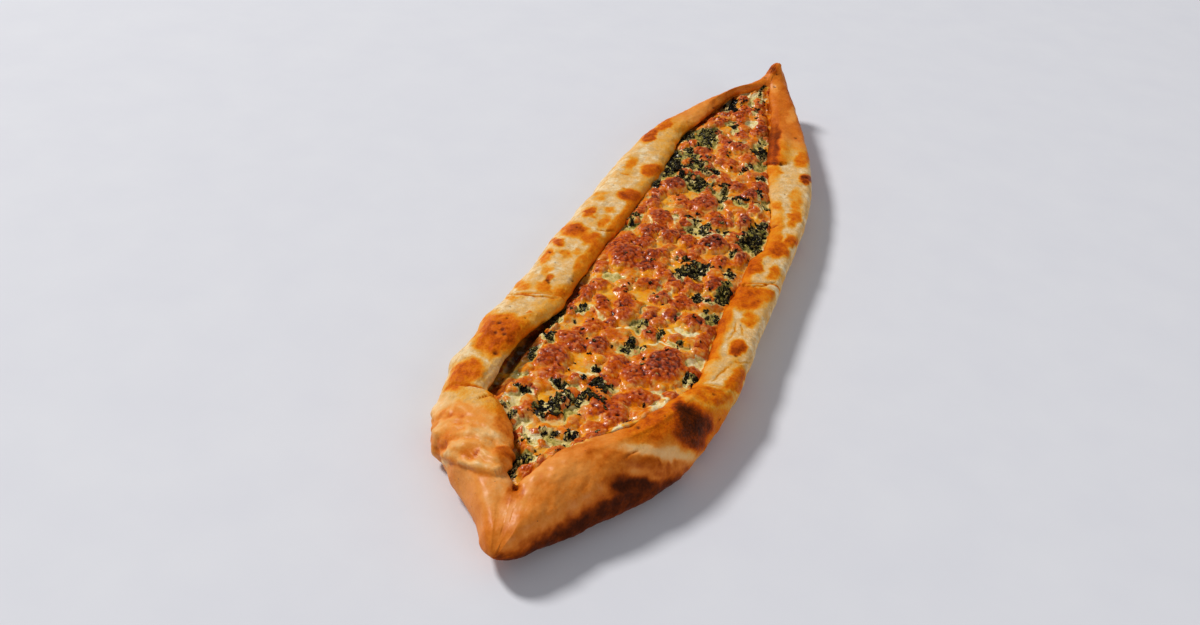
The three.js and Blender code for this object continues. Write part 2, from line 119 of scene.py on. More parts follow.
RIGHT_RIM = {
    "sign": 1,
    "tuck": [(-190, 0.09), (-122, 0.09), (-88, 0.4), (120, 0.4), (165, 0.15), (190, 0.15)],
    "widest": [(-190, 0.46), (-122, 0.46), (-88, 0.76), (120, 0.76), (165, 0.6), (190, 0.6)],
    "shoulder": [(-190, 0.25), (-122, 0.25), (-88, 0.1), (120, 0.1), (165, 0.17), (190, 0.17)],
    "edge": [(-190, 6.6), (-184, 8.8), (-178, 12.6), (-170, 18), (-160, 25), (-149, 32.4), (-139, 38.6),
             (-128, 43.6), (-116, 47.4), (-100, 50.6), (-84, 52.4), (-68, 52.6), (-40, 51.4), (-16, 51.8),
             (4, 51.4), (40, 51.4), (62, 50), (80, 47.4), (95, 44), (115, 38.4), (135, 31.8), (155, 24.4),
             (168, 18.4), (178, 13.6), (184, 10.8), (190, 8.2)],
    "lip": [(-190, 4.2), (-183, 3.2), (-176, 1.8), (-171, 0.8), (-166, -0.6), (-163, 0), (-158, 2.8),
            (-150, 5.6), (-144, 10.6), (-133.4, 19), (-125.4, 25), (-111.6, 30.6), (-97, 34.8), (-84, 37),
            (-72, 36.6), (-58, 35.4), (-40, 34.8), (-20, 35.8), (0, 35.4), (12, 38.6), (22, 38.4),
            (40, 35.8), (56, 32), (72, 27.8), (88, 23.8), (104, 20.8), (124, 16.8), (142, 12.4),
            (156, 8.8), (165, 6), (174, 4.6), (190, 5.6)],
    "lip_top": [(-190, 14.4), (-178, 17.2), (-166, 19.2), (-156, 21.2), (-144, 22.4), (-126, 22.4),
                (-112, 21.6), (-102, 19.6), (-94, 17.8), (-84, 16.8), (-40, 16.4), (40, 16.4), (84, 16.8),
                (110, 17.8), (140, 19.6), (160, 21.8), (172, 25), (184, 30.4), (190, 31.4)],
    "crown": [(-190, 13.2), (-176, 15.4), (-160, 16.8), (-144, 18), (-128, 18.2), (-112, 17.4),
              (-98, 16.2), (-60, 15.8), (20, 15.6), (80, 16), (110, 17.2), (140, 18.8), (165, 21),
              (178, 23.8), (190, 25.6)],
    "round": [(-190, 2), (-165, 4.6), (-150, 7), (-120, 8), (-100, 5), (-84, 2.8), (80, 2.8), (120, 3.6),
              (165, 3), (190, 2)],
    "undercut": [(-190, 0), (-170, 0), (-150, 0.8), (-100, 1.4), (-60, 1.6), (80, 1.6), (145, 1.2),
                 (160, 0.6), (170, 0), (190, 0)],
}
UNDERSIDE = [(-190, 6), (-182, 3.4), (-173, 1), (-163, 0), (148, 0), (158, 1.2), (168, 4.4), (180, 10.6),
             (190, 16)]
CAVITY_FLOOR_RISE = [(-190, 1), (-172, 1), (-162, 0.6), (-150, 0), (152, 0), (162, 0.5), (171, 1), (190, 1)]
SEAM_DEPTH = [(-190, 0.1), (-180, 0.15), (-173, 0.6), (-166, 2), (-160, 2.6), (160, 3), (168, 2.4),
              (172, 1.2), (176, 0.4), (182, 0.15), (190, 0.1)]
# Cuts over the rims: rim, station, slant, depth.
CUTS = [(LEFT_RIM, -127.4, 0.1, 2.2), (LEFT_RIM, -61, 0.29, 1.1), (RIGHT_RIM, -20, 0.46, 1.3),
        (RIGHT_RIM, -93, 0.3, 0.9)]
CUT_HALF_WIDTH = 1.2
CUT_SLANT_REACH = 13
# Where the flaps close over the filling at either end, where the low seam is pressed
# smooth, and where the far ridge is rounded: at which station, and over what length.
CLOSED_LOW = (-167, 6)
CLOSED_HIGH = (169, 5)
PRESSED = (-165, 4)
ROUNDED = (171, 7)
SEAM_DIMPLE = 0.2
SEAM_SMOOTHING = 90
RIDGE_ROUNDING = 1.7
FILLING_START = -164
FILLING_END = 169
FILLING_TOP = [(-163, 17), (-152, 16.6), (-130, 15.8), (-100, 15.2), (0, 15), (90, 15), (130, 15.6),
               (152, 16.8), (162, 18.6), (170, 20.2)]
LEFT_DROP = [(-164, 1.6), (-148, 2.6), (-125, 4.6), (-90, 5.8), (-66, 4.2), (-45, 2.4), (-20, 1.4), (60, 1.2),
             (100, 3.4), (145, 4), (160, 2), (170, 1)]
RIGHT_DROP = [(-164, 0.4), (-150, -3.2), (-130, -5), (-112, -3.4), (-96, 0.2), (-80, 1.6), (0, 1.8),
              (80, 1.4), (150, 2), (170, 1)]
DROP_REACH = 7
# Wilted leaves: across, along, heading in degrees, half length, half width.
LEAVES = [(-8.6, 147, 14, 10, 3.8), (7, -110, 20, 7.6, 4.2), (-6, -124, -32, 9, 4.4),
          (31, 22, 6, 10, 4), (-1, 56, 60, 7.4, 4.4), (14, -17, 30, 8.4, 4.6), (-16, 71, -14, 8.8, 4),
          (15.4, 102, 8, 6.8, 3.6)]

# How fine the crust is: between stations, over the round of a tip in shares of a
# quarter turn, round each stretch of a rim, and over its floor and its underside.
CRUST_STATION = 0.71
TIP_TURNS = np.linspace(0.08, 0.985, 12)
RIM_STEPS = (8, 8, 20, 17, 17, 10, 5)
FLOOR_SHARES = (0.25, 0.5, 0.75)
UNDER_SHARES = (0.2, 0.4, 0.6, 0.8)
# How many points of a rim lie on the cavity's wall, which of them is the top of the
# wall, and how many points past the opening are smoothed.
WALL_POINTS = 4
SHELF_POINT = -3
SMOOTHED_POINTS = 12
# How fine the filling is, and the rows and columns of a leaf and of a shred.
FILLING_STATION = 0.5
FILLING_COLUMNS = 146
LEAF_GRID = (49, 25)
SHRED_GRID = (8, 5)
# How far inside the model's box the crust is kept.
BOX_MARGIN = 0.03

# Marks on the bread are placed by where the camera's line of sight through them
# meets a level plane at this height.
MARK_HEIGHT = 14

# How toasted the lips and the ends are along the bread.
LIP_TOAST = [(-190, 0.44), (-130, 0.44), (-110, 0.36), (-60, 0.42), (20, 0.46), (45, 0.3), (90, 0.3),
             (130, 0.48), (190, 0.55)]
END_TOAST = [(-190, 0.48), (-176, 0.42), (-165, 0.38), (-145, 0.36), (-132, 0.34), (-112, 0.02),
             (90, 0.0), (108, 0.14), (132, 0.46), (190, 0.5)]
# Toasted spots of the crust: across, along, half width, half length, tone.
TOAST = [
    (-42, -86, 9, 8, 0.56), (-40, -94, 8, 11, 0.66), (-42, -117, 5.6, 7.4, 0.62), (-43, -124, 3.4, 6, 0.5),
    (-46, -58, 4.4, 3, 0.42), (-37, -56, 4.4, 3.6, 0.48), (-37.6, -50, 2.2, 3.4, 0.62),
    (-41, -44, 2.4, 5, 0.36), (-44.4, -21.4, 3, 3.2, 0.64), (-45, -33, 2.4, 5.4, 0.5),
    (-38, -28, 2.6, 3, 0.42), (-34.6, -24, 1.4, 2.6, 0.38), (-42, -8.4, 5.8, 6.6, 0.58),
    (-41.4, -7, 3, 3.2, 0.72), (-33, -11, 4.4, 6, 0.58), (-41, 9, 3.2, 5.6, 0.66), (-32.6, 5, 2.6, 6, 0.5),
    (-34, 16, 2.6, 3, 0.4), (-42, 25, 2.4, 4.6, 0.36), (-30, 32, 5.4, 5.8, 0.74),
    (-28.4, 60, 4.6, 7.4, 0.66), (-39.4, 62, 2.6, 8, 0.46), (-40.6, 96, 3.6, 9.5, 0.72),
    (-38, 112, 4, 9, 0.6), (-35.4, -74.4, 1.2, 1, 0.66), (-46, -68, 2.6, 1.6, 0.4), (-29, -55, 2, 3, 0.6),
    (-33, -143, 8, 5, 0.4), (-17, -138, 4, 6, 0.52), (-11.6, -151.8, 3, 3.6, 0.68),
    (-19.8, -156, 1.2, 1.8, 0.6), (-33, -154, 5, 5, 0.44), (-25, -168, 6, 4, 0.42),
    (40, -27, 7.4, 9, 0.64), (45, -20, 5.6, 5, 0.56), (-4, 213, 5, 8, 0.72), (45.6, -40, 3, 5, 0.5),
    (45, -60, 3.8, 5.4, 0.72), (50, -76, 3, 6, 0.58), (49, -83, 4, 4, 0.62), (44, -92, 8, 5, 0.55),
    (35, -92, 3, 4, 0.6), (38, -1, 3.6, 6.6, 0.7), (47, -2, 3, 6, 0.55), (45, 17, 4.4, 7, 0.68),
    (48, 27, 3, 5, 0.62), (45.4, 48, 3, 8, 0.58), (43.6, 60, 1.8, 8, 0.44), (38.8, 39.4, 2, 4, 0.46),
    (35.6, 56, 2, 4, 0.5), (26.6, 88.6, 4, 4, 0.47), (42.6, 87, 3, 5, 0.84), (37, 108, 4, 9, 0.58),
    (41, 70, 3, 7, 0.36), (27, -112, 6, 7, 0.62), (31, -118, 5, 6, 0.66), (24, -121, 4, 5, 0.58),
    (21, -139, 8, 5, 0.6), (35, -136, 9, 4, 0.66), (44, -134, 4, 4, 0.6), (-1.4, -167, 2.4, 5, 0.58),
    (0, -190, 2.4, 3, 0.56), (14, -164, 5, 4, 0.46), (18, -156, 5, 5, 0.5),
]
TOAST_STRENGTH = 0.93
# Spots that are toasted more than this stand up as blisters.
BLISTERED = 0.6
# Burnt places of the crust, as above.
BURNT = [
    (34.6, -103, 2.2, 3.6, 0.86), (38.6, -107, 4, 6.6, 0.94), (44.2, -110.4, 4.6, 7, 0.94),
    (41, -114, 4.4, 5.4, 0.88), (45, -119, 3.8, 5, 0.84), (28.4, -149, 5, 4.6, 0.92),
    (34.6, -146, 6, 3.4, 0.9),
]
# The dark band along the foot of the tall fold, burnt and also painted shade on its low side: its line, its
# half width and its tone.
BURNT_AND_SHADED_BAND = [(44, -143), (39, -149), (33, -154), (28, -162), (23, -172), (18, -181), (13, -190), (7, -198)]
BURNT_AND_SHADED_BAND_WIDTH = 4.6
BURNT_AND_SHADED_BAND_TONE = 0.9
# Pale places of the crust, as above: pale dough, and on the lobe, the roll and the far end also painted
# highlights.
PALE_AND_HIGHLIGHTED = [
    (-33, -112, 4, 16, 0.12), (-47.5, -108, 2.6, 6, 0.04), (-42, -134, 4, 7, 0.16), (-33, -131, 5, 3, 0.2),
    (-21, -144.6, 5, 2.6, 0.16), (-28.4, -153, 3, 2.6, 0.2), (-21, -160.6, 5, 1.8, 0.2),
    (-15.6, -159, 3.4, 2.4, 0.22), (-17.4, -155.4, 3, 2.2, 0.24), (-26.6, -158.6, 3, 2, 0.2),
    (-17, -149.6, 4.4, 2.4, 0.22), (-29, -165, 2, 3, 0.06), (-8, -167, 3, 8, 0.3), (-30, -71, 5, 9, 0.28),
    (29, -131, 7, 3.4, 0.2), (42, -127, 7, 3.4, 0.16), (41, -97, 6, 3, 0.28), (46.6, -91, 4, 4, 0.22),
    (33, -130, 9, 2.6, 0.14), (3, -150, 9, 5, 0.36), (11, -152, 6, 6, 0.38), (33.4, 87, 2.4, 5, 0.08),
    (30.4, 106, 1.8, 6, 0.24), (33, 72, 4, 9, 0.1), (44, -50, 5, 9, 0.12), (41, -76, 4, 8, 0.16),
    (40, 66, 7, 12, 0.12), (31, 72, 3, 8, 0.18), (47, 38, 3, 5, 0.12), (-32, 92, 4, 14, 0.26),
    (-31, 118, 4, 12, 0.34), (34, 90, 4, 9, 0.14), (22, 160, 3, 14, 0.36), (-27, 138, 5, 14, 0.36),
    (4, 187, 3, 6, 0.34),
]
# The lobe folded over the low end: its lower edge, and how far it stands up.
LOBE_EDGE = [(-44, -157), (-31.5, -160.8), (-26.8, -162.3), (-20.7, -161.6), (-15.6, -162.8), (-10.9, -162.2),
             (-8.4, -159), (-6, -154)]
LOBE_STEP = 1.4
# The roll along the far end's right lip: where its low end is cut off aslant, how
# steep that cut is, how wide the roll is, and how far it stands up.
ROLL = {"x": 22.5, "y": 93.3, "slant": 0.7, "width": 6, "height": 1.3}
# Single places of relief on the crust: across, along, half width, half length.
WRINKLES = (-34, -112, 6, 16)
KNOB = (-12, -152.6, 3.6, 4)
TALL_FOLD = (15, -158, 20, 26)
ROUGH_BLISTER = (-40, -94, 7.4, 11)
SMALL_BLISTER = (-42, -117, 5, 6)
# Cheese that has run over the lip of the tall fold: the line that it follows.
OVERFLOW = [(8, -137), (10.4, -133.5), (14.1, -126.8), (17.8, -121.7), (21.2, -115.5), (24.3, -110.6),
            (27.2, -104.4), (30.5, -98)]
OVERFLOW_WIDTH = 1.5
# Hairline cracks of the crust: how deep, then the points that each runs through.
CRACKS = [
    (0.9, [(-49, -66), (-42, -63.6), (-35, -61.4), (-29, -60)]),
    (1.0, [(-34, -2.4), (-30, -2.6), (-26, -1.4)]), (0.5, [(-41, 51), (-36, 51.6)]),
    (1.2, [(-32, -129.4), (-30, -127.2), (-26.6, -126.4)]), (0.36, [(46, -70), (44, -77), (41.6, -84.6)]),
    (0.36, [(52, -67), (46, -70)]), (0.9, [(35, -19), (38, -17.2), (44, -14.4), (49, -9)]),
    (0.8, [(40.4, 38.6), (38, 36.6), (36.6, 33.6)]), (0.36, [(51, -87), (42, -89), (34, -92)]),
    (0.3, [(40, -44), (42, -50), (40.4, -57)]), (0.26, [(43, -45), (45.4, -52)]),
    (0.26, [(37, -47), (38.4, -54)]), (0.6, [(-45, -29.6), (-44.4, -28.8)]),
    (0.5, [(24.6, -118), (25, -121)]), (0.5, [(25.6, -137), (27, -133.6), (29, -131)]),
]
# Dark specks and pits of the crust: across, along, radius.
SPECKS = [
    (-41.8, -81.6, 0.5), (-43.4, -85.4, 0.9), (-40.4, -89, 0.8), (-38.6, -91.6, 0.9), (-37, -103, 1),
    (-42, -92, 0.7), (-37.4, -50.8, 0.9), (-36.4, -52, 0.6), (-28.2, -45.4, 0.6), (-29, -42, 0.3),
    (-45.2, -29.6, 0.6), (-35.2, -61.6, 0.5), (-44, -73.6, 0.4), (-35.6, -78, 0.4), (-40, -36, 0.35),
    (46, -65.4, 0.7), (44.4, -91.6, 0.6), (50, -104, 0.4), (31.6, -111, 0.4), (24.8, -120, 0.8),
    (-3, 200, 0.8), (-8, 193, 0.7), (4.6, 190, 1), (2.4, 208, 0.9), (-19, 145, 1.1), (29, 131, 0.8),
    (42.6, 89, 0.9), (36.6, 68, 0.4), (-28, 34, 0.4), (-41.6, -6, 0.6), (-2.6, 214, 0.9), (-0.6, 217, 0.7),
    (28.4, 97, 1), (43, -45, 0.3), (-40, 38, 0.4), (47.4, 26, 0.4),
]

# Browned cheese: across, along, half width, half length, height, tone.
BROWNED = [
    (23, -83, 9.4, 12.6, 2.5, 0.95), (14.5, -93, 5.4, 8, 1.8, 0.82), (-15, -82, 7, 5, 1.8, 0.8),
    (-16.5, -96, 7.6, 8.4, 2.2, 0.86), (-3.5, -82, 5, 6, 2, 0.95), (6, -90, 4.6, 8.4, 1.7, 0.74),
    (-10, -70.6, 6, 6, 1.5, 0.66), (-1.6, -73, 5, 4.6, 1.2, 0.55), (-4.4, -65.6, 3, 4, 1.5, 0.88),
    (-1, -58.6, 5, 5.6, 1.9, 0.74), (12, -66, 3.8, 5.4, 1.4, 0.8), (22, -64, 5, 3.6, 1.3, 0.62),
    (31, -62, 3, 6, 1.2, 0.66), (24, -51, 4.6, 5.6, 2, 0.84), (14, -48.6, 4.6, 6, 1.5, 0.4),
    (7.6, -52, 3.4, 6, 1.4, 0.62), (0, -50, 4.6, 4, 1.2, 0.55), (9, -39.4, 3.5, 5, 2, 0.86),
    (-1.6, -34, 3.6, 5, 1.5, 0.7), (-8, -38, 4, 4.4, 1.4, 0.5), (5, -24, 4.4, 5, 1.6, 0.66),
    (-3, -21, 5, 6, 0.9, 0.22), (17, -27.6, 3.4, 4.6, 1.5, 0.66), (26, -21.6, 4.8, 7.4, 2, 0.92),
    (28, -37, 5, 2.8, 1.2, 0.5), (-14.4, -18, 8.4, 11, 2.6, 0.84), (-21, -29, 4, 3.6, 1.2, 0.6),
    (-17, -42, 5.4, 6, 1.2, 0.66), (-12, -54, 5, 6, 1.4, 0.88), (-20, -50, 3.6, 6, 1.2, 0.85),
    (-21.6, -64.6, 2.8, 4.4, 1.5, 0.95), (-5, -45, 4, 3.4, 1.1, 0.5), (-9, -27, 3.4, 4, 1, 0.45),
    (3, -125, 3, 4.4, 1.2, 0.5), (-13.7, -126.4, 4.2, 4, 2, 0.74), (-3.4, -140, 2, 1.8, 1.1, 0.55),
    (-6.6, -145.2, 2.6, 2.6, 1.2, 0.6), (5.3, -140.8, 4.4, 2.2, 1.1, 0.72),
    (9.9, -135.9, 4, 2.6, 1.1, 0.8), (2.6, -131.6, 5, 2, 1, 0.5), (-13, -106, 7, 4.6, 1.6, 0.72),
    (-4, -104, 4.4, 4, 1.5, 0.78), (8.6, -115, 4.6, 8, 1.6, 0.8), (15, -117, 5, 9, 1.9, 0.78),
    (20, -103, 5.6, 5, 1.6, 0.78), (27, -111, 4.4, 5, 1.4, 0.6), (2, -130, 2.6, 3.4, 1.1, 0.5),
    (-4, -133, 3.2, 2.6, 1.2, 0.5), (11, -137, 4.4, 3, 1.2, 0.8), (-6.4, -145, 3, 3, 1.3, 0.62),
    (1.6, -148.6, 3, 3.4, 1.3, 0.66), (6, -141.4, 4, 3, 1.2, 0.74), (-3, -140, 2.6, 2, 1, 0.5),
    (-2, -155, 2.4, 5, 0.9, 0.7), (11, -127, 4, 5, 1.2, 0.6), (-13.6, 51.6, 6.4, 7.6, 2.7, 0.9),
    (-18, 40, 4.4, 4, 1.9, 0.84), (4, 41, 6.8, 9, 2.3, 0.8), (-6, 37, 3.4, 4, 1.3, 0.6),
    (-10, 21, 7, 6.4, 1.6, 0.8), (-17, 31, 4, 5, 1.5, 0.66), (-3, 6.4, 4.6, 5.6, 2.4, 0.92),
    (6.4, 6, 4.6, 5.4, 2.1, 0.8), (17, 9, 6.8, 7.2, 2.7, 0.97), (30.6, 4, 3.6, 6, 1.7, 0.92),
    (-12, 5, 4, 6, 1.6, 0.88), (-10, -3, 4, 5, 1.5, 0.8), (-4.6, -12, 5, 6, 1.8, 0.88),
    (-20, -7, 4.4, 4.6, 1.5, 0.66), (23.4, -4, 4.2, 5, 1.6, 0.7), (12, -4.6, 3.4, 3, 1.3, 0.76),
    (4, -2, 4.4, 4, 1, 0.3), (14, 27, 5, 5.4, 1.8, 0.88), (24.6, 34, 4, 6.4, 2, 0.94),
    (17.6, 37, 2.8, 3.6, 1.4, 0.86), (14, 47, 3, 4, 1.2, 0.6), (28, 46, 4, 4, 1.2, 0.5),
    (21.6, 60, 4.6, 7, 1.8, 0.86), (14, 64.6, 3.6, 4.4, 1.5, 0.8), (6.6, 68, 4, 4, 1.3, 0.66),
    (11, 73, 4.4, 3, 0.9, 0.3), (27, 69, 3.6, 5, 1.4, 0.8), (-14, 66, 2.8, 5.4, 1.4, 0.66),
    (-5, 67, 2.4, 4, 1.2, 0.5), (3, 62, 2, 3.2, 1.1, 0.55), (4, 105, 6.6, 6.4, 1.9, 0.74),
    (11, 95, 4, 6, 1.4, 0.6), (11, 131, 4.4, 6.4, 1.7, 0.84), (4.6, 118, 4, 4.4, 1.3, 0.62),
    (-4, 143, 4.4, 7, 1.6, 0.72), (-7, 163, 3.6, 6, 1.5, 0.72), (-11.4, 93, 4.6, 4, 1.6, 0.74),
    (0, 94, 3, 5, 1.3, 0.7), (-14.4, 78, 2.8, 5, 1.2, 0.62), (6, 85, 3.6, 6.4, 1.5, 0.68),
    (18, 79, 4, 4.4, 1.2, 0.55), (-5, 112, 3.4, 3.4, 1.2, 0.64), (-12, 127, 3, 5, 1.2, 0.8),
    (0, 86, 2.8, 5, 1.2, 0.66), (22, 71, 3, 4, 1.2, 0.78), (5, 154, 2.6, 5, 0.9, 0.4),
    (9, 112, 3, 5, 1.1, 0.45),
]
# Places where pale filling shows between the cheese: as above without height,
# and then how green it is.
BARE = [
    (-20, -122, 7, 8.6, 0.12), (-16, -133, 6, 5, 0.1), (-12, -138, 5, 3, 0.15), (-4, -139, 5, 2.6, 0.1),
    (-14, -34, 6, 3.4, 0.3), (6, -62, 3.6, 5, 0.4), (14, -14, 5.6, 4.6, 0.3), (33, -76, 2.6, 9, 0.1),
    (30, -100, 2.6, 6, 0.1), (-24, -107, 3, 3.4, 0.3), (3.6, 17, 5.6, 6.4, 0.35), (-4, -109, 4, 3, 0.3),
    (1, -122, 2.4, 6, 0.35), (-6, -149, 3, 5, 0.5), (2, -137, 5, 2.6, 0.35), (-2, 168, 3.2, 12, 0.15),
    (3.4, 137, 4, 4.6, 0.1), (-2, 126, 2.6, 6, 0.2), (14, 117, 3, 9, 0.35), (-11, 117, 6, 6, 0.5),
    (-13, 103, 7, 6, 0.5), (-19, 68, 4.4, 13, 0.5), (-2, 56, 6.4, 5.4, 0.5), (8, 57, 4, 7, 0.35),
    (-21, 12, 3.4, 9, 0.45), (31, -26, 3.4, 9, 0.55), (32.6, 22, 5, 12, 0.6), (27, 14, 4, 4.4, 0.5),
    (18, 50.6, 8, 2.4, 0.35), (-6, 78, 6, 5, 0.45), (31.6, -46, 2, 5, 0.45), (3, -94, 3, 3, 0.35),
    (8, -78, 5, 4, 0.3), (19, 92, 4, 7, 0.45), (-16, 86, 6, 4, 0.45), (26, -58, 6, 1.6, 0.05),
    (-18, -61, 3, 3, 0.4), (-23, 55, 2.4, 4, 0.2), (-8, 172, 2.6, 6, 0.05), (30, 57, 2.6, 5, 0.4),
    (26, -101, 3, 5, 0.05), (19, -122, 2, 5.6, 0.05), (-19, 108, 6, 11, 0.55), (-21, 80, 5, 10, 0.5),
]
# Where spinach lies bare: across, along, half width, half length, share covered.
SPINACH = [
    (-19.6, -117.3, 3, 1.2, 0.8), (-23, -127.4, 1.8, 0.9, 0.9), (-17.2, -131.7, 2.4, 2.2, 0.75),
    (-8.4, -122.6, 3, 2.2, 0.55), (-5.6, -119, 3, 2.6, 0.65), (-8.2, -128, 1.8, 2.2, 0.95),
    (2.4, -115, 2.2, 2.6, 0.8), (-8.6, -109.6, 3.4, 1.8, 0.8), (-2.4, -135, 3.6, 0.8, 0.9),
    (-8, -140.6, 2.4, 0.8, 0.9), (5, -133, 1.8, 1.8, 0.8), (-4.4, -149, 4, 2.4, 0.55),
    (-6, -155, 1.4, 5, 0.7), (-22.6, -85, 1.8, 3, 0.9), (-24, -95, 1.8, 5, 0.8),
    (-17.6, -61.6, 1.8, 3, 0.9), (7.4, -78, 1.6, 4.4, 0.9), (5, -81, 2, 1, 0.9), (13, -77.4, 1.6, 1, 0.8),
    (0.4, -95, 1.8, 2.4, 0.85), (15.8, -66, 1.2, 3, 0.9), (23, -68, 1.8, 1, 0.9), (8, -63, 1.8, 3.6, 0.5),
    (34, -87, 2.2, 3.4, 0.9), (9.6, -104, 1.6, 1.4, 0.7), (5.4, -101, 1.4, 1.4, 0.7),
    (28, -44, 2.2, 2, 0.7), (32, -45, 1.4, 4, 0.7), (22, -34.6, 2.2, 3.4, 0.95), (27, -36, 2.2, 1.6, 0.95),
    (31, -27, 2.6, 8, 0.8), (11, -21, 2.4, 6, 0.7), (14, -17, 2.6, 3.4, 0.7), (18.4, -14, 2.6, 5, 0.8),
    (30, -12, 2.4, 3, 0.7), (-21, 11, 1.6, 8, 0.5), (3, 23.4, 3.4, 1.4, 0.9), (10.4, 19, 2, 5.4, 0.9),
    (18.4, 19, 3, 1.4, 0.8), (12.6, 12, 1.6, 2, 0.8), (29, 19, 2.2, 4, 0.9), (33, 27, 3, 10, 0.92),
    (27, 15, 2.6, 3, 0.6), (35.6, 13, 2.4, 5, 0.7), (27, 5, 1.6, 3, 0.9), (-22, 50, 1.8, 4, 0.9),
    (-19.6, 67, 2.6, 9, 0.8), (-10.6, 61, 4, 3, 0.9), (-3, 57, 4.4, 4.6, 0.8), (-1.4, 53, 3.4, 1.6, 0.85),
    (-8, 78, 3, 3, 0.85), (9, 59, 1.8, 4.6, 0.85), (11.4, 46, 0.9, 7, 0.85), (18, 51.8, 5, 1.2, 0.6),
    (29, 51.6, 4, 1.2, 0.6), (25.4, 60, 1.8, 3, 0.7), (-22.6, 105, 3, 9.4, 0.9), (-10.6, 109, 3.6, 6, 0.7),
    (-17, 88, 3, 2.4, 0.8), (-12, 84, 3, 1.6, 0.7), (17.4, 102, 2.4, 5, 0.85), (14, 87, 2, 3, 0.5),
    (22.6, 77, 1.6, 4, 0.6), (-1, 176, 1.6, 3, 0.9), (3, 164, 1, 2.6, 0.9), (2.6, 149.6, 1.8, 2, 0.7),
    (-4, 128, 1.8, 3, 0.6), (-12.6, 151, 3.2, 9, 0.45), (12.6, 80, 1.4, 2, 0.6), (-24, 20, 1, 8, 0.5),
    (-4, -114, 1.6, 2, 0.7), (1, 71, 2.4, 2, 0.7), (-14, 112, 4, 6, 0.8), (-2, -102.6, 1.4, 1.4, 0.4),
    (5, 15, 2, 2.4, 0.3), (-12, 100, 3, 4, 0.85), (-22, 79, 3, 8, 0.85), (-7, 71, 8, 2, 0.75),
    (-24, -72, 1.6, 7, 0.8),
]
# Deep places at the rim where the filling has drawn away, darkened with painted shade where deepest: as
# above, with depth.
HOLLOWS = [
    (-27, -98, 3.4, 15, 2.2), (-26, -75, 2.4, 10, 1.6), (-27, -118, 2.6, 8, 1.4), (-24, -48, 1.8, 12, 1.2),
    (-8, -152, 1.8, 9, 1.6), (-12.6, 152, 3.4, 14, 1.2), (-24, 106, 2.4, 9, 1.4), (-24, 26, 1.2, 7, 1.2),
    (33, 26, 2.4, 11, 0.8), (27, 4, 1.4, 3, 1), (-24, 3, 1.6, 6, 1), (22, -35, 2, 3, 0.8),
]
# Strings of pale melted cheese: width, then the points that each runs through.
STRINGS = [
    (1.1, [(-2, -70), (2, -66.4), (6, -64)]), (0.9, [(17, -61), (23, -59.6), (30, -57)]),
    (0.9, [(9, -31), (12, -37), (14, -42)]), (0.8, [(-18, -58), (-13, -60), (-6, -66)]),
    (1.0, [(26, -97), (29, -103), (25, -110)]), (0.9, [(20, -118), (18, -126), (14, -132)]),
    (0.8, [(-6, 26), (-2, 20), (-4, 14)]), (0.8, [(5, 8), (12, 14), (20, 22)]),
    (0.7, [(0, 62), (4, 70), (2, 78)]), (0.8, [(-20, -34), (-14, -31), (-8, -33)]),
    (0.8, [(28, 40), (30, 46), (27, 52)]), (0.7, [(-10, -104), (-2, -98), (4, -100)]),
    (0.9, [(12, -74), (17, -69), (22, -70)]), (0.7, [(-16, 20), (-12, 14), (-8, 12)]),
]

# How brown the lumps are at the near and at the far end.
LUMP_BROWN_NEAR = 0.79
LUMP_BROWN_FAR = 0.88
# How far the filling keeps off the cavity's walls and below the flaps, and a height
# that limits nothing where no flap lies over it.
WALL_GAP = 0.1
SHELF_GAP = 0.2
NO_CEILING = 99

# Spinach: the seed of its random draws, how light each leaf is, how strongly it colours
# the filling, how many shreds lie where it is bare, and how many elsewhere.
SHRED_SEED = 411
LEAF_LIGHT = [0.1, 0.85, 0.9, 0.9, 1, 0.9, 0.7, 0.8]
LEAF_COVER = 0.64
SHREDS_PER_MM2 = 0.5
STRAY_SHREDS = 110
# How far the waves of a leaf stand up, how deep a leaf and a shred are sunk in, and
# how thick they are.
LEAF_FRILL = 1.8
LEAF_SINK = 1.2
LEAF_THICKNESS = 0.3
SHRED_SINK = 0.3
SHRED_THICKNESS = 0.22
# How far the line of sight moves across and along for each millimetre of height.
SIGHT_SHIFT = (0.40, -1.35)


# Curves and noise.

def smooth_step(t):
    u = np.clip(t, 0, 1)
    return u * u * (3 - 2 * u)


def mix(a, b, t):
    return a + (b - a) * t


def smooth_curve(knots):
    """A smooth curve through (position, value) pairs that never overshoots them."""
    at, value = (np.array(column, float) for column in zip(*knots))
    secant = np.diff(value) / np.diff(at)
    same_way = secant[:-1] * secant[1:] > 0
    total = np.where(same_way, secant[:-1] + secant[1:], 1)
    slope = np.zeros(len(at))
    slope[1:-1] = np.where(same_way, 2 * secant[:-1] * secant[1:] / total, 0)

    def read(position):
        y = np.clip(position, at[0], at[-1])
        i = np.searchsorted(at[1:-1], y)
        span = at[i + 1] - at[i]
        t = (y - at[i]) / span
        rise = value[i + 1] - value[i]
        a = slope[i] * span
        b = slope[i + 1] * span
        return value[i] + t * (a + t * (3 * rise - 2 * a - b + t * (a + b - 2 * rise)))
    return read


for rim in (LEFT_RIM, RIGHT_RIM):
    for key in rim.keys() - {"sign"}:
        rim[key] = smooth_curve(rim[key])
underside = smooth_curve(UNDERSIDE)
floor_rise = smooth_curve(CAVITY_FLOOR_RISE)
seam_depth = smooth_curve(SEAM_DEPTH)
filling_top = smooth_curve(FILLING_TOP)
left_drop = smooth_curve(LEFT_DROP)
right_drop = smooth_curve(RIGHT_DROP)


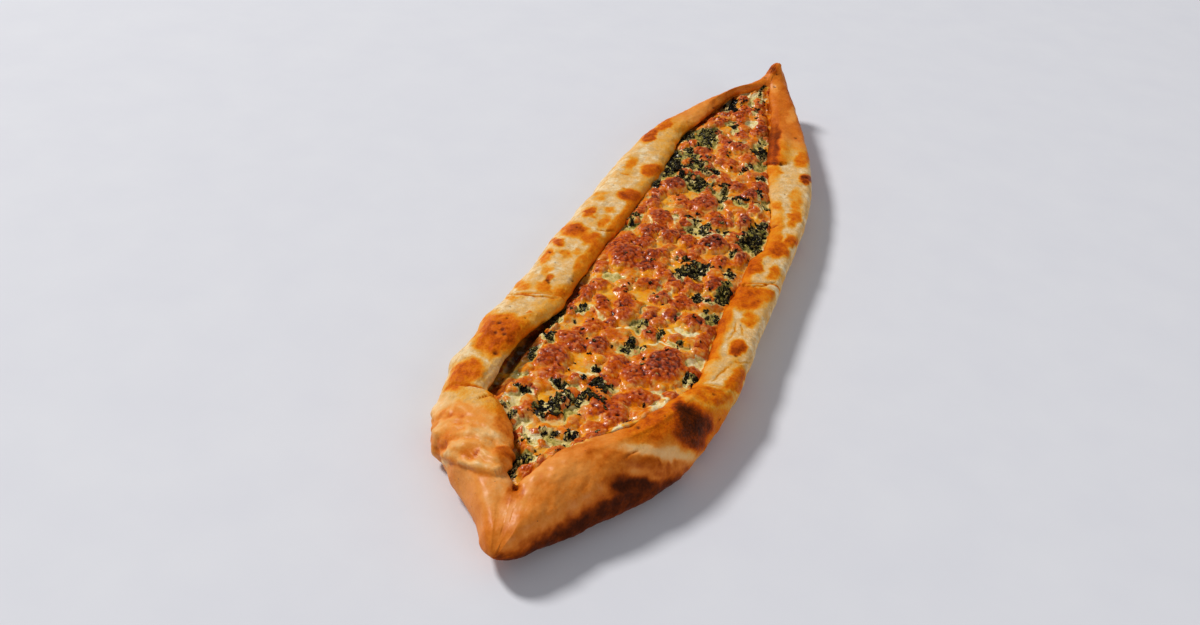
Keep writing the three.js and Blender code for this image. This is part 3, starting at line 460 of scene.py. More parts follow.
def hashed(cell, seed):
    """A repeatable number from 0 to 1 for each lattice cell."""
    i, j, k = (cell[..., axis].astype(np.uint32) for axis in range(3))
    h = i * np.uint32(0x8DA6B343) ^ j * np.uint32(0xD8163841) ^ k * np.uint32(0xCB1AB31F)
    h = h ^ np.uint32((seed * 0x9E3779B1 + 0x7F4A7C15) & 0xFFFFFFFF)
    h = (h ^ (h >> np.uint32(15))) * np.uint32(0x2C1B3C6D)
    h = (h ^ (h >> np.uint32(12))) * np.uint32(0x297A2D39)
    h = h ^ (h >> np.uint32(15))
    return h / 4294967296.0


def soft_noise(points, size, seed):
    """Smooth gradient noise, about -1 to 1, with features of that size."""
    q = points / size
    cell = np.floor(q).astype(np.int64)
    t = q - cell
    fade = t * t * t * (t * (6 * t - 15) + 10)
    total = np.zeros(points.shape[:-1])
    for corner in itertools.product((0, 1), repeat=3):
        corner = np.array(corner)
        at = cell + corner
        slope = np.stack([hashed(at, seed + 101 * axis) * 2 - 1 for axis in range(3)], axis=-1)
        weight = np.prod(np.where(corner == 1, fade, 1 - fade), axis=-1)
        total += weight * np.sum(slope * (t - corner), axis=-1)
    return total * 1.7


def layered_noise(points, size, layers, seed):
    total = np.zeros(points.shape[:-1])
    for layer in range(layers):
        total += soft_noise(points, size / 2 ** layer, seed + 17 * layer) / 2 ** layer
    return total


def drift(points, size, layers, seed):
    """Two noises side by side, by which places in plan are shifted."""
    return np.stack([layered_noise(points, size, layers, seed + step) for step in (0, 1)], axis=-1)


def cells(points, size, seed):
    """Distances in plan to the nearest and next jittered point, in cells, and the nearest one's number."""
    q = points / size
    home = np.floor(q).astype(np.int64)
    first = np.full(points.shape[:-1], 9.0)
    second = first.copy()
    number = np.zeros(points.shape[:-1])
    for step in itertools.product((-1, 0, 1), (-1, 0, 1), (0,)):
        at = home + np.array(step)
        centre = np.stack([hashed(at, seed + 57 * axis) for axis in range(3)], axis=-1) + at
        away = np.sqrt(np.sum(((q - centre) * (1, 1, 0)) ** 2, axis=-1))
        nearer = away < first
        second = np.where(nearer, first, np.minimum(second, away))
        number = np.where(nearer, hashed(at, seed + 999), number)
        first = np.where(nearer, away, first)
    return first, second, number


def pebbles(points, size, seed):
    """Rounded bubbles side by side, 0 in the creases and 1 on top, of uneven height."""
    first, second, number = cells(points * (1, 1, 0), size, seed)
    dome = np.sqrt(np.clip(1 - (first / 0.95) ** 2, 0, 1))
    crease = smooth_step((second - first) / 0.35)
    return dome * mix(0.55, 1, crease) * mix(0.6, 1, number)


def mark_place(points):
    """Where the camera's line of sight through each point meets the plane of the marks."""
    eye = np.array(CAMERA_PLACE)
    share = (MARK_HEIGHT - eye[2]) / (points[..., 2] - eye[2])
    return (eye + (points - eye) * share[..., None])[..., :2]


def blot(place, x, y, half_width, half_length, soft):
    """1 inside a mark and 0 outside it, with an edge that fades over a share of its size."""
    away = np.hypot((place[..., 0] - x) / half_width, (place[..., 1] - y) / half_length)
    return smooth_step((1 + 0.5 * soft - away) / soft)


def strongest(place, marks, soft):
    """The strongest mark at each place, where the last value of a mark is its strength."""
    total = np.zeros(place.shape[:-1])
    for *spot, strength in marks:
        total = np.maximum(total, strength * blot(place, *spot, soft))
    return total


def distance_to_path(place, path):
    """How far each place is from a path, and how far along it from 0 to 1."""
    nearest = np.full(place.shape[:-1], 1e9)
    along = np.zeros(place.shape[:-1])
    count = len(path) - 1
    for step, (a, b) in enumerate(zip(path[:-1], path[1:])):
        a, b = np.array(a, float), np.array(b, float)
        share = np.clip(np.sum((place - a) * (b - a), axis=-1) / np.sum((b - a) ** 2), 0, 1)
        away = np.linalg.norm(place - (a + share[..., None] * (b - a)), axis=-1)
        along = np.where(away < nearest, (step + share) / count, along)
        nearest = np.minimum(nearest, away)
    return nearest, along


# The bread's sections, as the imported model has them.

def cavity_floor(y):
    seam = np.minimum(LEFT_RIM["lip_top"](y), RIGHT_RIM["lip_top"](y)) - seam_depth(y)
    return mix(underside(y) + DOUGH_FLOOR, seam, floor_rise(y))


def cut_depth(rim, y):
    depth = np.zeros_like(y)
    for cut_rim, at, _, deep in CUTS:
        if cut_rim is rim:
            depth = np.maximum(depth, deep * np.clip(1 - np.abs(y - at) / CUT_HALF_WIDTH, 0, 1))
    return depth


def leaned(x, y):
    """The stations lean with the cuts, so each cut runs aslant over its rim."""
    lean = np.zeros_like(x)
    for rim, at, slant, _ in CUTS:
        outward = np.maximum(0, rim["sign"] * (x - rim["lip"](y)))
        lean += rim["sign"] * outward * slant * np.exp(-(((y - at) / CUT_SLANT_REACH) ** 2))
    return y + lean


def through_points(controls, steps):
    """A centripetal Catmull-Rom curve through each section's control points."""
    before = 2 * controls[:, :1] - controls[:, 1:2]
    after = 2 * controls[:, -1:] - controls[:, -2:-1]
    chain = np.concatenate([before, controls, after], axis=1)
    gap = np.sum(np.diff(chain, axis=1) ** 2, axis=2) ** 0.25
    gap = np.maximum(gap, 1e-4)[:, :, None]
    pieces = []
    for s, count in enumerate(steps):
        p0, p1, p2, p3 = (chain[:, s + k] for k in range(4))
        d0, d1, d2 = (gap[:, s + k] for k in range(3))
        m1 = ((p1 - p0) / d0 - (p2 - p0) / (d0 + d1) + (p2 - p1) / d1) * d1
        m2 = ((p2 - p1) / d1 - (p3 - p1) / (d1 + d2) + (p3 - p2) / d2) * d1
        t = (np.arange(count) / count)[None, :, None]
        p0, p1, p2, m1, m2 = (v[:, None] for v in (p0, p1, p2, m1, m2))
        pieces.append(p1 + t * (m1 + t * (3 * (p2 - p1) - 2 * m1 - m2 + t * (m1 + m2 - 2 * (p2 - p1)))))
    pieces.append(controls[:, -1:])
    return np.concatenate(pieces, axis=1)


def rim_section(rim, y, steps):
    """Across position and height of a rim, from its foot over the flap and down the cavity wall."""
    sign = rim["sign"]
    edge, lip, bottom = rim["edge"](y), rim["lip"](y), underside(y)
    width = np.maximum(2, sign * (edge - lip))
    crown = rim["crown"](y) - 0.35 * cut_depth(rim, y)
    lip_top = rim["lip_top"](y) - cut_depth(rim, y)
    floor = np.minimum(cavity_floor(y), lip_top - 0.5)
    nose = np.minimum(LIP_HALF_THICKNESS, 0.42 * (lip_top - floor))
    foot = np.minimum(FOOT_INSET, 0.5 * width)
    round_off = np.minimum(rim["round"](y), 0.36 * width)
    controls = np.stack([np.stack([edge - sign * inset, z], axis=1) for inset, z in (
        (foot, bottom),
        (rim["tuck"](y) * foot, mix(bottom, crown, 0.22)),
        (0 * foot, mix(bottom, crown, rim["widest"](y))),
        (rim["shoulder"](y) * width, crown),
        (0.58 * width, mix(crown, lip_top, 0.75) + CONVEX),
        (width - round_off, lip_top),
        (width, lip_top - nose),
        (width - 0.5 * nose, lip_top - 2 * nose),
    )], axis=1)
    curve = through_points(controls, steps)
    wall_x = edge - sign * np.minimum(width - rim["undercut"](y), width - 0.5 * nose)
    shelf = np.maximum(mix(floor, lip_top - 2 * nose, 0.7), lip_top - 2.25 * nose)
    wall = np.stack([np.stack([wall_x, z], axis=1) for z in (shelf, mix(shelf, floor, 0.5), floor)], axis=1)
    return np.concatenate([curve, wall], axis=1)


def tip_scale(y):
    tip_round = np.where(y < 0, LOW_TIP["round"], HIGH_TIP["round"])
    past = np.clip((np.abs(y) - (HALF - tip_round)) / tip_round, 0, 1)
    return np.sqrt(1 - past * past)


# Making meshes.

def fan(hub, loop):
    return [(hub, a, b) for a, b in zip(loop, loop[1:] + loop[:1])]


def make_mesh(name, points, faces, attributes, material):
    """A smooth-shaded object from points in millimetres, with a value for each point in each attribute."""
    mesh = bpy.data.meshes.new(name)
    mesh.from_pydata((points * MM).tolist(), [], faces)
    mesh.update()
    mesh.polygons.foreach_set("use_smooth", np.ones(len(mesh.polygons), bool))
    for key, values in attributes.items():
        layer = mesh.attributes.new(key, "FLOAT", "POINT")
        layer.data.foreach_set("value", np.ascontiguousarray(values, np.float32).ravel())
    mesh.materials.append(material)
    piece = bpy.data.objects.new(name, mesh)
    bpy.context.scene.collection.objects.link(piece)
    return piece


def closed_loft(name, loops, attributes, material):
    """A body through closed loops of equally many points, with a fan over each end.

    Each attribute has its values for the points of the loops, and then for both ends.
    """
    count, size = loops.shape[:2]
    i, k = np.meshgrid(np.arange(count - 1), np.arange(size), indexing="ij")
    a = i * size + k
    b = i * size + (k + 1) % size
    faces = np.stack([a, a + size, b + size, b], axis=-1).reshape(-1, 4).tolist()
    faces += fan(count * size, list(range(size)))
    faces += fan(count * size + 1, list(range((count - 1) * size, count * size))[::-1])
    points = np.concatenate([loops.reshape(-1, 3), [loops[0].mean(0), loops[-1].mean(0)]])
    values = {key: np.concatenate([inner.ravel(), ends]) for key, (inner, ends) in attributes.items()}
    return make_mesh(name, points, faces, values, material)


def kept_inside(points):
    """Draws the points in, a little and evenly on each side, where they pass the model's box."""
    low, high = (np.array(corner) / MM for corner in CAD_BOX)
    middle = (low + high) / 2
    flat = points.reshape(-1, 3)
    reach_low = np.minimum(1, (middle - low - BOX_MARGIN) / (middle - flat.min(0)))
    reach_high = np.minimum(1, (high - middle - BOX_MARGIN) / (flat.max(0) - middle))
    reach_low[2] = 1
    return middle + (points - middle) * np.where(points < middle, reach_low, reach_high)


def surface_normals(points):
    """Outward normals of a grid of points whose second axis runs round each section."""
    along = np.gradient(points, axis=0)
    around = (np.roll(points, -1, axis=1) - np.roll(points, 1, axis=1)) / 2
    normal = np.cross(along, around)
    return normal / np.maximum(np.linalg.norm(normal, axis=-1, keepdims=True), 1e-9)


def blurred(values, times):
    for _ in range(times):
        padded = np.pad(values, 1, mode="edge")
        values = (4 * padded[1:-1, 1:-1] + padded[:-2, 1:-1] + padded[2:, 1:-1]
                  + padded[1:-1, :-2] + padded[1:-1, 2:]) / 8
    return values


# Materials.

def linear(code):
    """A colour written as in a paint list, such as "d9a262", as linear light."""
    parts = [int(code[i:i + 2], 16) / 255 for i in (0, 2, 4)]
    return tuple(p / 12.92 if p <= 0.04045 else ((p + 0.055) / 1.055) ** 2.4 for p in parts) + (1,)


class Finish:
    """A material being built, with short names for the nodes that it uses."""

    def __init__(self, name):
        self.material = bpy.data.materials.new(name)
        self.material.use_nodes = True
        self.tree = self.material.node_tree
        self.shader = self.tree.nodes["Principled BSDF"]
        self.place = self.tree.nodes.new("ShaderNodeTexCoord").outputs["Object"]

    def put(self, socket, value):
        if isinstance(value, bpy.types.NodeSocket):
            self.tree.links.new(value, socket)
        else:
            socket.default_value = value

    def value(self, name):
        node = self.tree.nodes.new("ShaderNodeAttribute")
        node.attribute_name = name
        return node.outputs["Fac"]

    def noise(self, size_mm, detail, roughness=0.55):
        node = self.tree.nodes.new("ShaderNodeTexNoise")
        self.put(node.inputs["Vector"], self.place)
        node.inputs["Scale"].default_value = MM_PER_METRE / size_mm
        node.inputs["Detail"].default_value = detail
        node.inputs["Roughness"].default_value = roughness
        return node.outputs["Fac"]

    def dots(self, size_mm, feature="F1"):
        node = self.tree.nodes.new("ShaderNodeTexVoronoi")
        node.feature = feature
        self.put(node.inputs["Vector"], self.place)
        node.inputs["Scale"].default_value = MM_PER_METRE / size_mm
        return node.outputs["Distance"]

    def reckon(self, operation, a, b):
        node = self.tree.nodes.new("ShaderNodeMath")
        node.operation = operation
        self.put(node.inputs[0], a)
        self.put(node.inputs[1], b)
        return node.outputs[0]

    def plus(self, a, b):
        return self.reckon("ADD", a, b)

    def times(self, a, b):
        return self.reckon("MULTIPLY", a, b)

    def centred_noise(self, *settings):
        return self.reckon("SUBTRACT", self.noise(*settings), 0.5)

    def spread(self, value, low, high, to_low=0.0, to_high=1.0):
        node = self.tree.nodes.new("ShaderNodeMapRange")
        self.put(node.inputs["Value"], value)
        for key, number in zip(("From Min", "From Max", "To Min", "To Max"), (low, high, to_low, to_high)):
            node.inputs[key].default_value = number
        return node.outputs["Result"]

    def ramp(self, value, stops):
        node = self.tree.nodes.new("ShaderNodeValToRGB")
        ramp = node.color_ramp
        while len(ramp.elements) < len(stops):
            ramp.elements.new(0.5)
        for element, (at, code) in zip(ramp.elements, stops):
            element.position = at
            element.color = linear(code)
        self.put(node.inputs["Fac"], value)
        return node.outputs["Color"]

    def blend(self, share, a, b):
        node = self.tree.nodes.new("ShaderNodeMix")
        node.data_type = "RGBA"
        self.put(node.inputs["Factor"], share)
        sockets = [s for s in node.inputs if s.type == "RGBA"]
        self.put(sockets[0], a)
        self.put(sockets[1], b)
        return [s for s in node.outputs if s.type == "RGBA"][0]

    def bump(self, height, depth_mm, strength=1.0, layer="Normal"):
        node = self.tree.nodes.new("ShaderNodeBump")
        node.inputs["Distance"].default_value = depth_mm * MM
        node.inputs["Strength"].default_value = strength
        self.put(node.inputs["Height"], height)
        self.put(self.shader.inputs[layer], node.outputs["Normal"])

    def set(self, **sockets):
        for key, value in sockets.items():
            self.put(self.shader.inputs[key.replace("_", " ").title().replace("Ior", "IOR")], value)


def crust_finish():
    """Baked dough: cream where pale, golden to brown where toasted, with fine mottling and specks."""
    f = Finish("baked_dough")
    tone = f.value("tone")
    glaze = f.value("glaze_and_sheen")
    matte = f.spread(glaze, 0, 1, 1, 0.45)
    broad = f.centred_noise(4.5, 4)
    fine = f.centred_noise(0.9, 3)
    shade = f.plus(tone, f.plus(f.times(broad, 0.26), f.times(f.times(fine, 0.3), matte)))
    plain = f.ramp(shade, [(0.0, "f2dcb2"), (0.14, "e8b874"), (0.26, "e7a643"), (0.37, "e78f19"),
                           (0.48, "df7606"), (0.6, "cc5c02"), (0.74, "a03e02"), (0.88, "5e2402"),
                           (1.0, "260d02")])
    # The low end's colours are paler and pinker, its own glazed colour with a painted sheen in it.
    glaze_and_sheen = f.ramp(shade, [(0.0, "f8d49c"), (0.2, "f0b470"), (0.36, "ea9440"), (0.5, "da7820"),
                            (0.64, "b85608"), (0.78, "823402"), (0.9, "4a1a02"), (1.0, "220a01")])
    baked = f.blend(glaze, plain, glaze_and_sheen)
    marbling = f.times(f.spread(f.noise(3.4, 5, 0.68), 0.5, 0.63, 0, 0.55), f.spread(glaze, 0, 1, 1, 0.25))
    marbled = f.blend(f.times(marbling, f.spread(tone, 0.15, 0.45, 1, 0)), baked, linear("bd9560"))
    speck = f.times(f.spread(f.dots(2.6), 0.05, 0.13, 1, 0), f.spread(f.noise(9, 2), 0.5, 0.62))
    specked = f.blend(f.times(speck, 0.55), marbled, linear("6b3414"))
    marked = f.blend(f.value("mark"), specked, linear("47160a"))
    cheese = f.ramp(f.plus(fine, 0.5), [(0.3, "f3d68c"), (0.5, "f0b84a"), (0.7, "dc8420")])
    f.set(base_color=f.blend(f.value("overflow"), marked, cheese), subsurface_weight=0.05,
          specular_ior_level=0.04)
    f.shader.inputs["Subsurface Radius"].default_value = (1.0, 0.5, 0.25)
    f.shader.inputs["Subsurface Scale"].default_value = 1.6 * MM
    f.set(roughness=f.spread(f.plus(f.value("gloss"), f.times(fine, 0.3)), 0, 1, 0.55, 0.3),
          coat_weight=f.times(f.spread(glaze, 0, 1, 0.02, 0.24), f.spread(shade, 0.42, 0.72, 1, 0.05)),
          coat_roughness=0.34)
    grain = f.plus(f.noise(0.7, 4, 0.6), f.times(f.noise(2.4, 3), 1.6))
    f.bump(f.times(grain, matte), 0.34, 0.9)
    return f.material


# Spinach colours, from painted shade in the folds to painted highlight on the ridges.
LEAF_COLOURS = [(0.0, "060301"), (0.4, "110a04"), (0.6, "231a08"), (0.74, "423a14"), (0.87, "7c7034"),
                (1.0, "bcab66")]


def cheese_finish():
    """Melted cheese over the filling: pale, golden, orange and deep brown, oily and bubbled."""
    f = Finish("baked_cheese")
    fine = f.centred_noise(1.1, 4, 0.6)
    broad = f.centred_noise(3.6, 3)
    rough = f.spread(f.value("brown"), 0.24, 0.5, 0.3, 1)
    speckle = f.times(f.times(fine, rough), 0.42)
    brown = f.plus(f.value("brown"), f.plus(speckle, f.times(broad, 0.4)))
    baked = f.ramp(brown, [(0.0, "f4bd48"), (0.13, "f0a31e"), (0.26, "e78406"), (0.4, "d56301"),
                           (0.54, "be4a03"), (0.68, "9b3504"), (0.84, "642005"), (1.0, "2c0c03")])
    pale = f.ramp(f.plus(f.value("green"), f.times(f.plus(fine, broad), 0.7)),
                  [(0.0, "f4e6b6"), (0.22, "e6cf88"), (0.42, "c4ad58"), (0.6, "857a30"), (0.8, "3d3f18"),
                   (1.0, "20240f")])
    bare = f.spread(f.plus(f.value("bare"), f.times(fine, 0.6)), 0.3, 0.66)
    milky = f.times(f.spread(f.noise(2.8, 5, 0.65), 0.49, 0.6, 0, 0.85), f.spread(brown, 0.24, 0.48, 1, 0))
    # Painted highlight: the tops of bubbles are paler and pinker.
    bubble_highlights = f.times(f.value("top"), f.spread(f.noise(1.8, 3), 0.48, 0.6, 0, 0.6))
    bubbled = f.blend(bubble_highlights, f.blend(milky, baked, linear("dcb060")), linear("e29a68"))
    mixed = f.blend(bare, bubbled, pale)
    torn = f.centred_noise(1.7, 3, 0.6)
    leaf = f.spread(f.plus(f.value("leaf"), f.times(torn, 1.5)), 0.5, 0.58)
    # Spinach in the filling: painted highlight on its crumpled ridges and painted shade in its folds.
    crumpled = f.ramp(f.plus(f.value("ridge"), f.times(fine, 0.9)), LEAF_COLOURS)
    leafed = f.blend(leaf, mixed, crumpled)
    # Painted shade: the hollows and the gap along the left lip are darkened to near black brown.
    dark = f.blend(f.value("dark"), leafed, linear("170d05"))
    oily = f.times(f.spread(f.noise(1.7, 3), 0.48, 0.6, 0.02, 0.95), f.spread(leaf, 0, 1, 1, 0.2))
    f.set(base_color=dark, subsurface_weight=0.06, specular_ior_level=0.04, coat_weight=oily,
          coat_roughness=0.27)
    f.shader.inputs["Subsurface Radius"].default_value = (1.0, 0.5, 0.2)
    f.shader.inputs["Subsurface Scale"].default_value = 1.2 * MM
    f.set(roughness=f.spread(f.noise(2.0, 3), 0.35, 0.7, 0.3, 0.5))
    grain = f.plus(f.spread(f.dots(2.3, "SMOOTH_F1"), 0, 0.6, 0.6, 0), f.times(f.noise(1.3, 4, 0.62), 1.7))
    f.bump(f.times(grain, rough), 0.4, 0.9)
    f.bump(f.noise(1.5, 2), 0.22, layer="Coat Normal")
    return f.material


def spinach_finish():
    """Wilted spinach, moist and dark green: painted shade darkens it to almost black in the folds, and
    painted highlights make it olive on the ridges.
    """
    f = Finish("spinach")
    leaf = f.ramp(f.plus(f.value("ridge"), f.times(f.centred_noise(1.6, 3, 0.6), 1.1)), LEAF_COLOURS)
    f.set(base_color=leaf, roughness=f.spread(f.noise(0.9, 2), 0.3, 0.7, 0.3, 0.55),
          specular_ior_level=0.06, coat_weight=0.08, coat_roughness=0.14)
    veins = f.spread(f.dots(0.9, "DISTANCE_TO_EDGE"), 0, 0.2)
    f.bump(f.plus(f.noise(0.6, 4, 0.65), veins), 0.2, 0.9)
    return f.material


def floor_finish():
    f = Finish("pale_floor")
    f.set(base_color=f.ramp(f.noise(30, 3), [(0.3, "dedfe6"), (0.7, "e1e2e8")]), roughness=0.75,
          specular_ior_level=0.3)
    return f.material


# The crust.

def crust_stations():
    start, end = LOW_TIP["round"] - HALF, HALF - HIGH_TIP["round"]
    middle = np.linspace(start, end, int((end - start) / CRUST_STATION))
    share = np.sin(TIP_TURNS * math.pi / 2)
    low = -HALF + LOW_TIP["round"] * (1 - share)
    high = HALF - HIGH_TIP["round"] * (1 - share)
    return np.sort(np.concatenate([middle, low, high]))


def crust_loops(y):
    """The crust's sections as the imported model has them, only finer."""
    left = rim_section(LEFT_RIM, y, RIM_STEPS)
    right = rim_section(RIGHT_RIM, y, RIM_STEPS)

    def across(a, b, shares):
        return np.stack([mix(a, b, t) for t in shares], axis=1)
    sections = np.concatenate([
        right, across(right[:, -1], left[:, -1], FLOOR_SHARES), left[:, ::-1],
        across(left[:, 0], right[:, 0], UNDER_SHARES)], axis=1)
    low_share = (CLOSED_LOW[0] - y) / CLOSED_LOW[1]
    high_share = (y - CLOSED_HIGH[0]) / CLOSED_HIGH[1]
    closed_over = smooth_step(np.maximum(low_share, high_share))[:, None]
    outer = sum(RIM_STEPS[:5])
    opening = slice(outer, 2 * right.shape[1] + len(FLOOR_SHARES) - outer)
    seam = sections[:, opening]
    share = np.linspace(0, 1, seam.shape[1])[:, None]
    bridge = mix(seam[:, :1], seam[:, -1:], share)
    bridge[..., 1] -= SEAM_DIMPLE * (y < 0)[:, None] * np.sin(math.pi * share[:, 0]) ** 4
    sections[:, opening] = mix(seam, bridge, closed_over[:, :, None])
    pressed = smooth_step((PRESSED[0] - y) / PRESSED[1])[:, None, None]
    around = slice(opening.start - SMOOTHED_POINTS, opening.stop + SMOOTHED_POINTS)
    for _ in range(SEAM_SMOOTHING):
        stretch = sections[:, around]
        between = (stretch[:, :-2] + stretch[:, 2:]) / 2
        sections[:, around.start + 1:around.stop - 1] = mix(stretch[:, 1:-1], between, 0.5 * pressed)
    middle = (LEFT_RIM["lip"](y) + RIGHT_RIM["lip"](y)) / 2
    aside = smooth_step(np.abs(sections[..., 0] - middle[:, None]) / 4.2)
    near_top = smooth_step((sections[..., 1] - LEFT_RIM["lip_top"](y)[:, None] + 7) / 5)
    rounded = smooth_step((y - ROUNDED[0]) / ROUNDED[1])[:, None]
    sections[..., 1] -= RIDGE_ROUNDING * rounded * aside * near_top
    scale = tip_scale(y)[:, None]
    tip_x = np.where(y < 0, LOW_TIP["x"], HIGH_TIP["x"])[:, None]
    tip_z = np.where(y < 0, LOW_TIP["z"], HIGH_TIP["z"])[:, None]
    x, z = sections[..., 0], sections[..., 1]
    along = leaned(x, np.broadcast_to(y[:, None], x.shape))
    return np.stack([mix(tip_x, x, scale), along, mix(tip_z, z, scale)], axis=-1)


def lip_distance(points, rim):
    """How far a point lies outside a rim's lip in plan."""
    return rim["sign"] * (points[..., 0] - rim["lip"](points[..., 1]))


def lip_gap(points):
    """How far a point lies from the nearer lip in plan."""
    return np.minimum(np.abs(lip_distance(points, LEFT_RIM)), np.abs(lip_distance(points, RIGHT_RIM)))


def lobe_folds(points):
    """Folds of the lobe at the low end, about -1 in a crease to 1 on a ridge."""
    x, y, z = (points[..., axis] for axis in range(3))
    turned = np.stack([0.42 * x, y + 0.2 * x, 0.6 * z], axis=-1)
    return layered_noise(turned, 5.5, 2, 36) + 0.5 * layered_noise(turned, 2.4, 2, 37)


def above_lobe_edge(place):
    """How far a place lies up the bread from the lobe's lower edge, and 1 on the lobe's side of the seam."""
    edge = smooth_curve(LOBE_EDGE)(place[..., 0])
    return place[..., 1] - edge, smooth_step((-4.5 - place[..., 0]) / 2)


def roll_shares(points, place):
    """How far a place lies along the roll past its cut end, and how much it is roll and inner strip."""
    past = place[..., 1] - ROLL["y"] - ROLL["slant"] * (place[..., 0] - ROLL["x"])
    across = lip_distance(points, RIGHT_RIM)
    begun = smooth_step(past / 1.2 + 0.5)
    roll = begun * (1 - smooth_step((past - 30) / 25)) * (1 - smooth_step((across - ROLL["width"]) / 6))
    edge = across - 3.2 - 1.2 * layered_noise(points, 6, 2, 48)
    strip = begun * (1 - smooth_step((past - 46) / 16)) * (1 - smooth_step(edge / 2.2))
    return past, roll * (points[..., 0] > 0), strip * (points[..., 0] > 0)


def crust_tone(points, place):
    """How toasted each point is: 0 pale, 0.5 golden orange, 1 burnt."""
    x, y, z = (points[..., axis] for axis in range(3))
    seen_y = place[..., 1]
    spot_place = place + 1.4 * drift(points, 4.5, 4, 5)
    mottle = layered_noise(points, 3, 3, 24)
    tone = 0.12 + 0.08 * layered_noise(points, 13, 3, 21) + 0.09 * layered_noise(points, 4.2, 3, 25)
    # The lips are toasted in a band of uneven width, most on their very edge.
    gap = lip_gap(points)
    lip_toast = smooth_step((5.6 + 2.4 * layered_noise(points, 12, 2, 22) - gap) / 2.2)
    lip_strength = smooth_curve(LIP_TOAST)(y)
    lip_strength += 0.12 * layered_noise(points, 6, 2, 29)
    lip_strength += 0.12 * (x > 0) * smooth_step((-30 - y) / 14) * smooth_step((y + 92) / 10)
    lip_strength += 0.14 * smooth_step((0.9 - gap) / 1.2)
    lip_toast *= smooth_step((168 - np.abs(y + 1)) / 8)
    tone = mix(tone, np.maximum(tone, lip_strength), lip_toast)
    # Both ends are baked more; the outer side of the left rim is painted paler, a painted highlight where it
    # faces the light.
    ends = smooth_curve(END_TOAST)(seen_y)
    ends += 0.08 * smooth_step((seen_y - 120) / 30) * smooth_step((x - 10) / 6)
    right_flap = smooth_step((-94 - seen_y) / 5) * smooth_step(x / 6)
    ends = np.maximum(ends, 0.46 * right_flap)
    tone = np.maximum(tone, ends + 0.05 * layered_noise(points, 9, 3, 23))
    outer = smooth_step((LEFT_RIM["edge"](y) + 4.5 - x) / 4) * smooth_step((y + 140) / 12)
    tone = mix(tone, 0.04, 0.75 * outer * smooth_step((z - 3) / 4) * smooth_step((118 - y) / 20))
    # Single places: pale ones, some of them painted highlights, toasted ones, and burnt ones over both.
    for *spot, strength in PALE_AND_HIGHLIGHTED:
        tone = mix(tone, strength, 0.85 * blot(spot_place, *spot, 0.9))
    on_top = 1 - 0.9 * smooth_step((12.5 - z) / 5) * smooth_step(-x / 8) * smooth_step((y + 150) / 20)
    for *spot, strength in TOAST:
        inner = on_top * blot(spot_place, *spot, 0.65)
        tone = mix(tone, np.maximum(tone, TOAST_STRENGTH * strength + 0.11 * mottle), inner)
    for *spot, strength in BURNT:
        tone = mix(tone, np.maximum(tone, strength), blot(spot_place, *spot, 1.3))
    # The band at the foot of the tall fold is burnt, and is also painted shade where it turns away from the
    # light.
    away, _ = distance_to_path(spot_place, BURNT_AND_SHADED_BAND)
    band = smooth_step((BURNT_AND_SHADED_BAND_WIDTH + 1.6 * layered_noise(points, 7, 3, 27) - away) / 7 + 0.5)
    tone = mix(tone, np.maximum(tone, BURNT_AND_SHADED_BAND_TONE), band)
    # Painted highlight and shade on the lobe: its folds are lighter on their ridges and darker in their
    # creases, and painted shade darkens the nose under its lower edge.
    above, lobe_side = above_lobe_edge(place)
    lobe = lobe_side * smooth_step(above / 3 + 0.5) * (1 - smooth_step((above - 16) / 14))
    tone -= 0.19 * lobe * np.clip(lobe_folds(points), -0.8, 0.8)
    tone += 0.12 * lobe_side * np.exp(-((above + 0.8) / 0.9) ** 2)
    # The roll; the strip beside it, its inner wall, browned and darkened with painted shade, with a painted
    # highlight streak along it; and a painted shadow line under its cut end.
    past, roll, strip = roll_shares(points, place)
    tone = mix(tone, np.maximum(tone, 0.44 + 0.12 * layered_noise(points, 6, 2, 49)), roll)
    highlight_streak = np.exp(-((lip_distance(points, RIGHT_RIM) - 1.6) / 0.7) ** 2)
    tone = mix(tone, 0.79 - 0.07 * highlight_streak + 0.08 * layered_noise(points * (0.2, 1, 0.2), 9, 2, 26), strip)
    tone += 0.4 * (x > 0) * (lip_distance(points, RIGHT_RIM) < 9) * np.exp(-((past + 0.3) / 0.6) ** 2)
    # Low down it is a little darker, and painted shade darkens it most under the tall fold.
    low_side = smooth_step((9 - z) / 8)
    tone = mix(tone, np.clip(tone + 0.1, 0, 0.7), 0.4 * low_side)
    shade_under_fold = smooth_step((10.5 - z) / 6) * smooth_step((-118 - y) / 14) * smooth_step((x - 6) / 8)
    tone = mix(tone, np.maximum(tone, 0.84), 0.8 * shade_under_fold)
    return np.clip(tone, 0, 1)


def glazed_share(points, place):
    """1 on the low end, where the dough is smooth, tan and slightly shiny, with a painted sheen tinting its
    colour, and 0 elsewhere.
    """
    above, lobe_side = above_lobe_edge(place)
    left = mix(1, 0.75, smooth_step(above / 2 + 0.5) * lobe_side)
    edge = place[..., 1] + 4 * layered_noise(points, 12, 2, 28)
    right = smooth_step((-118 - edge) / 14)
    near = mix(left * smooth_step((-129 - edge) / 8), right, smooth_step(points[..., 0] / 10))
    return np.maximum(near, 0.75 * smooth_step((place[..., 1] - 112) / 18))


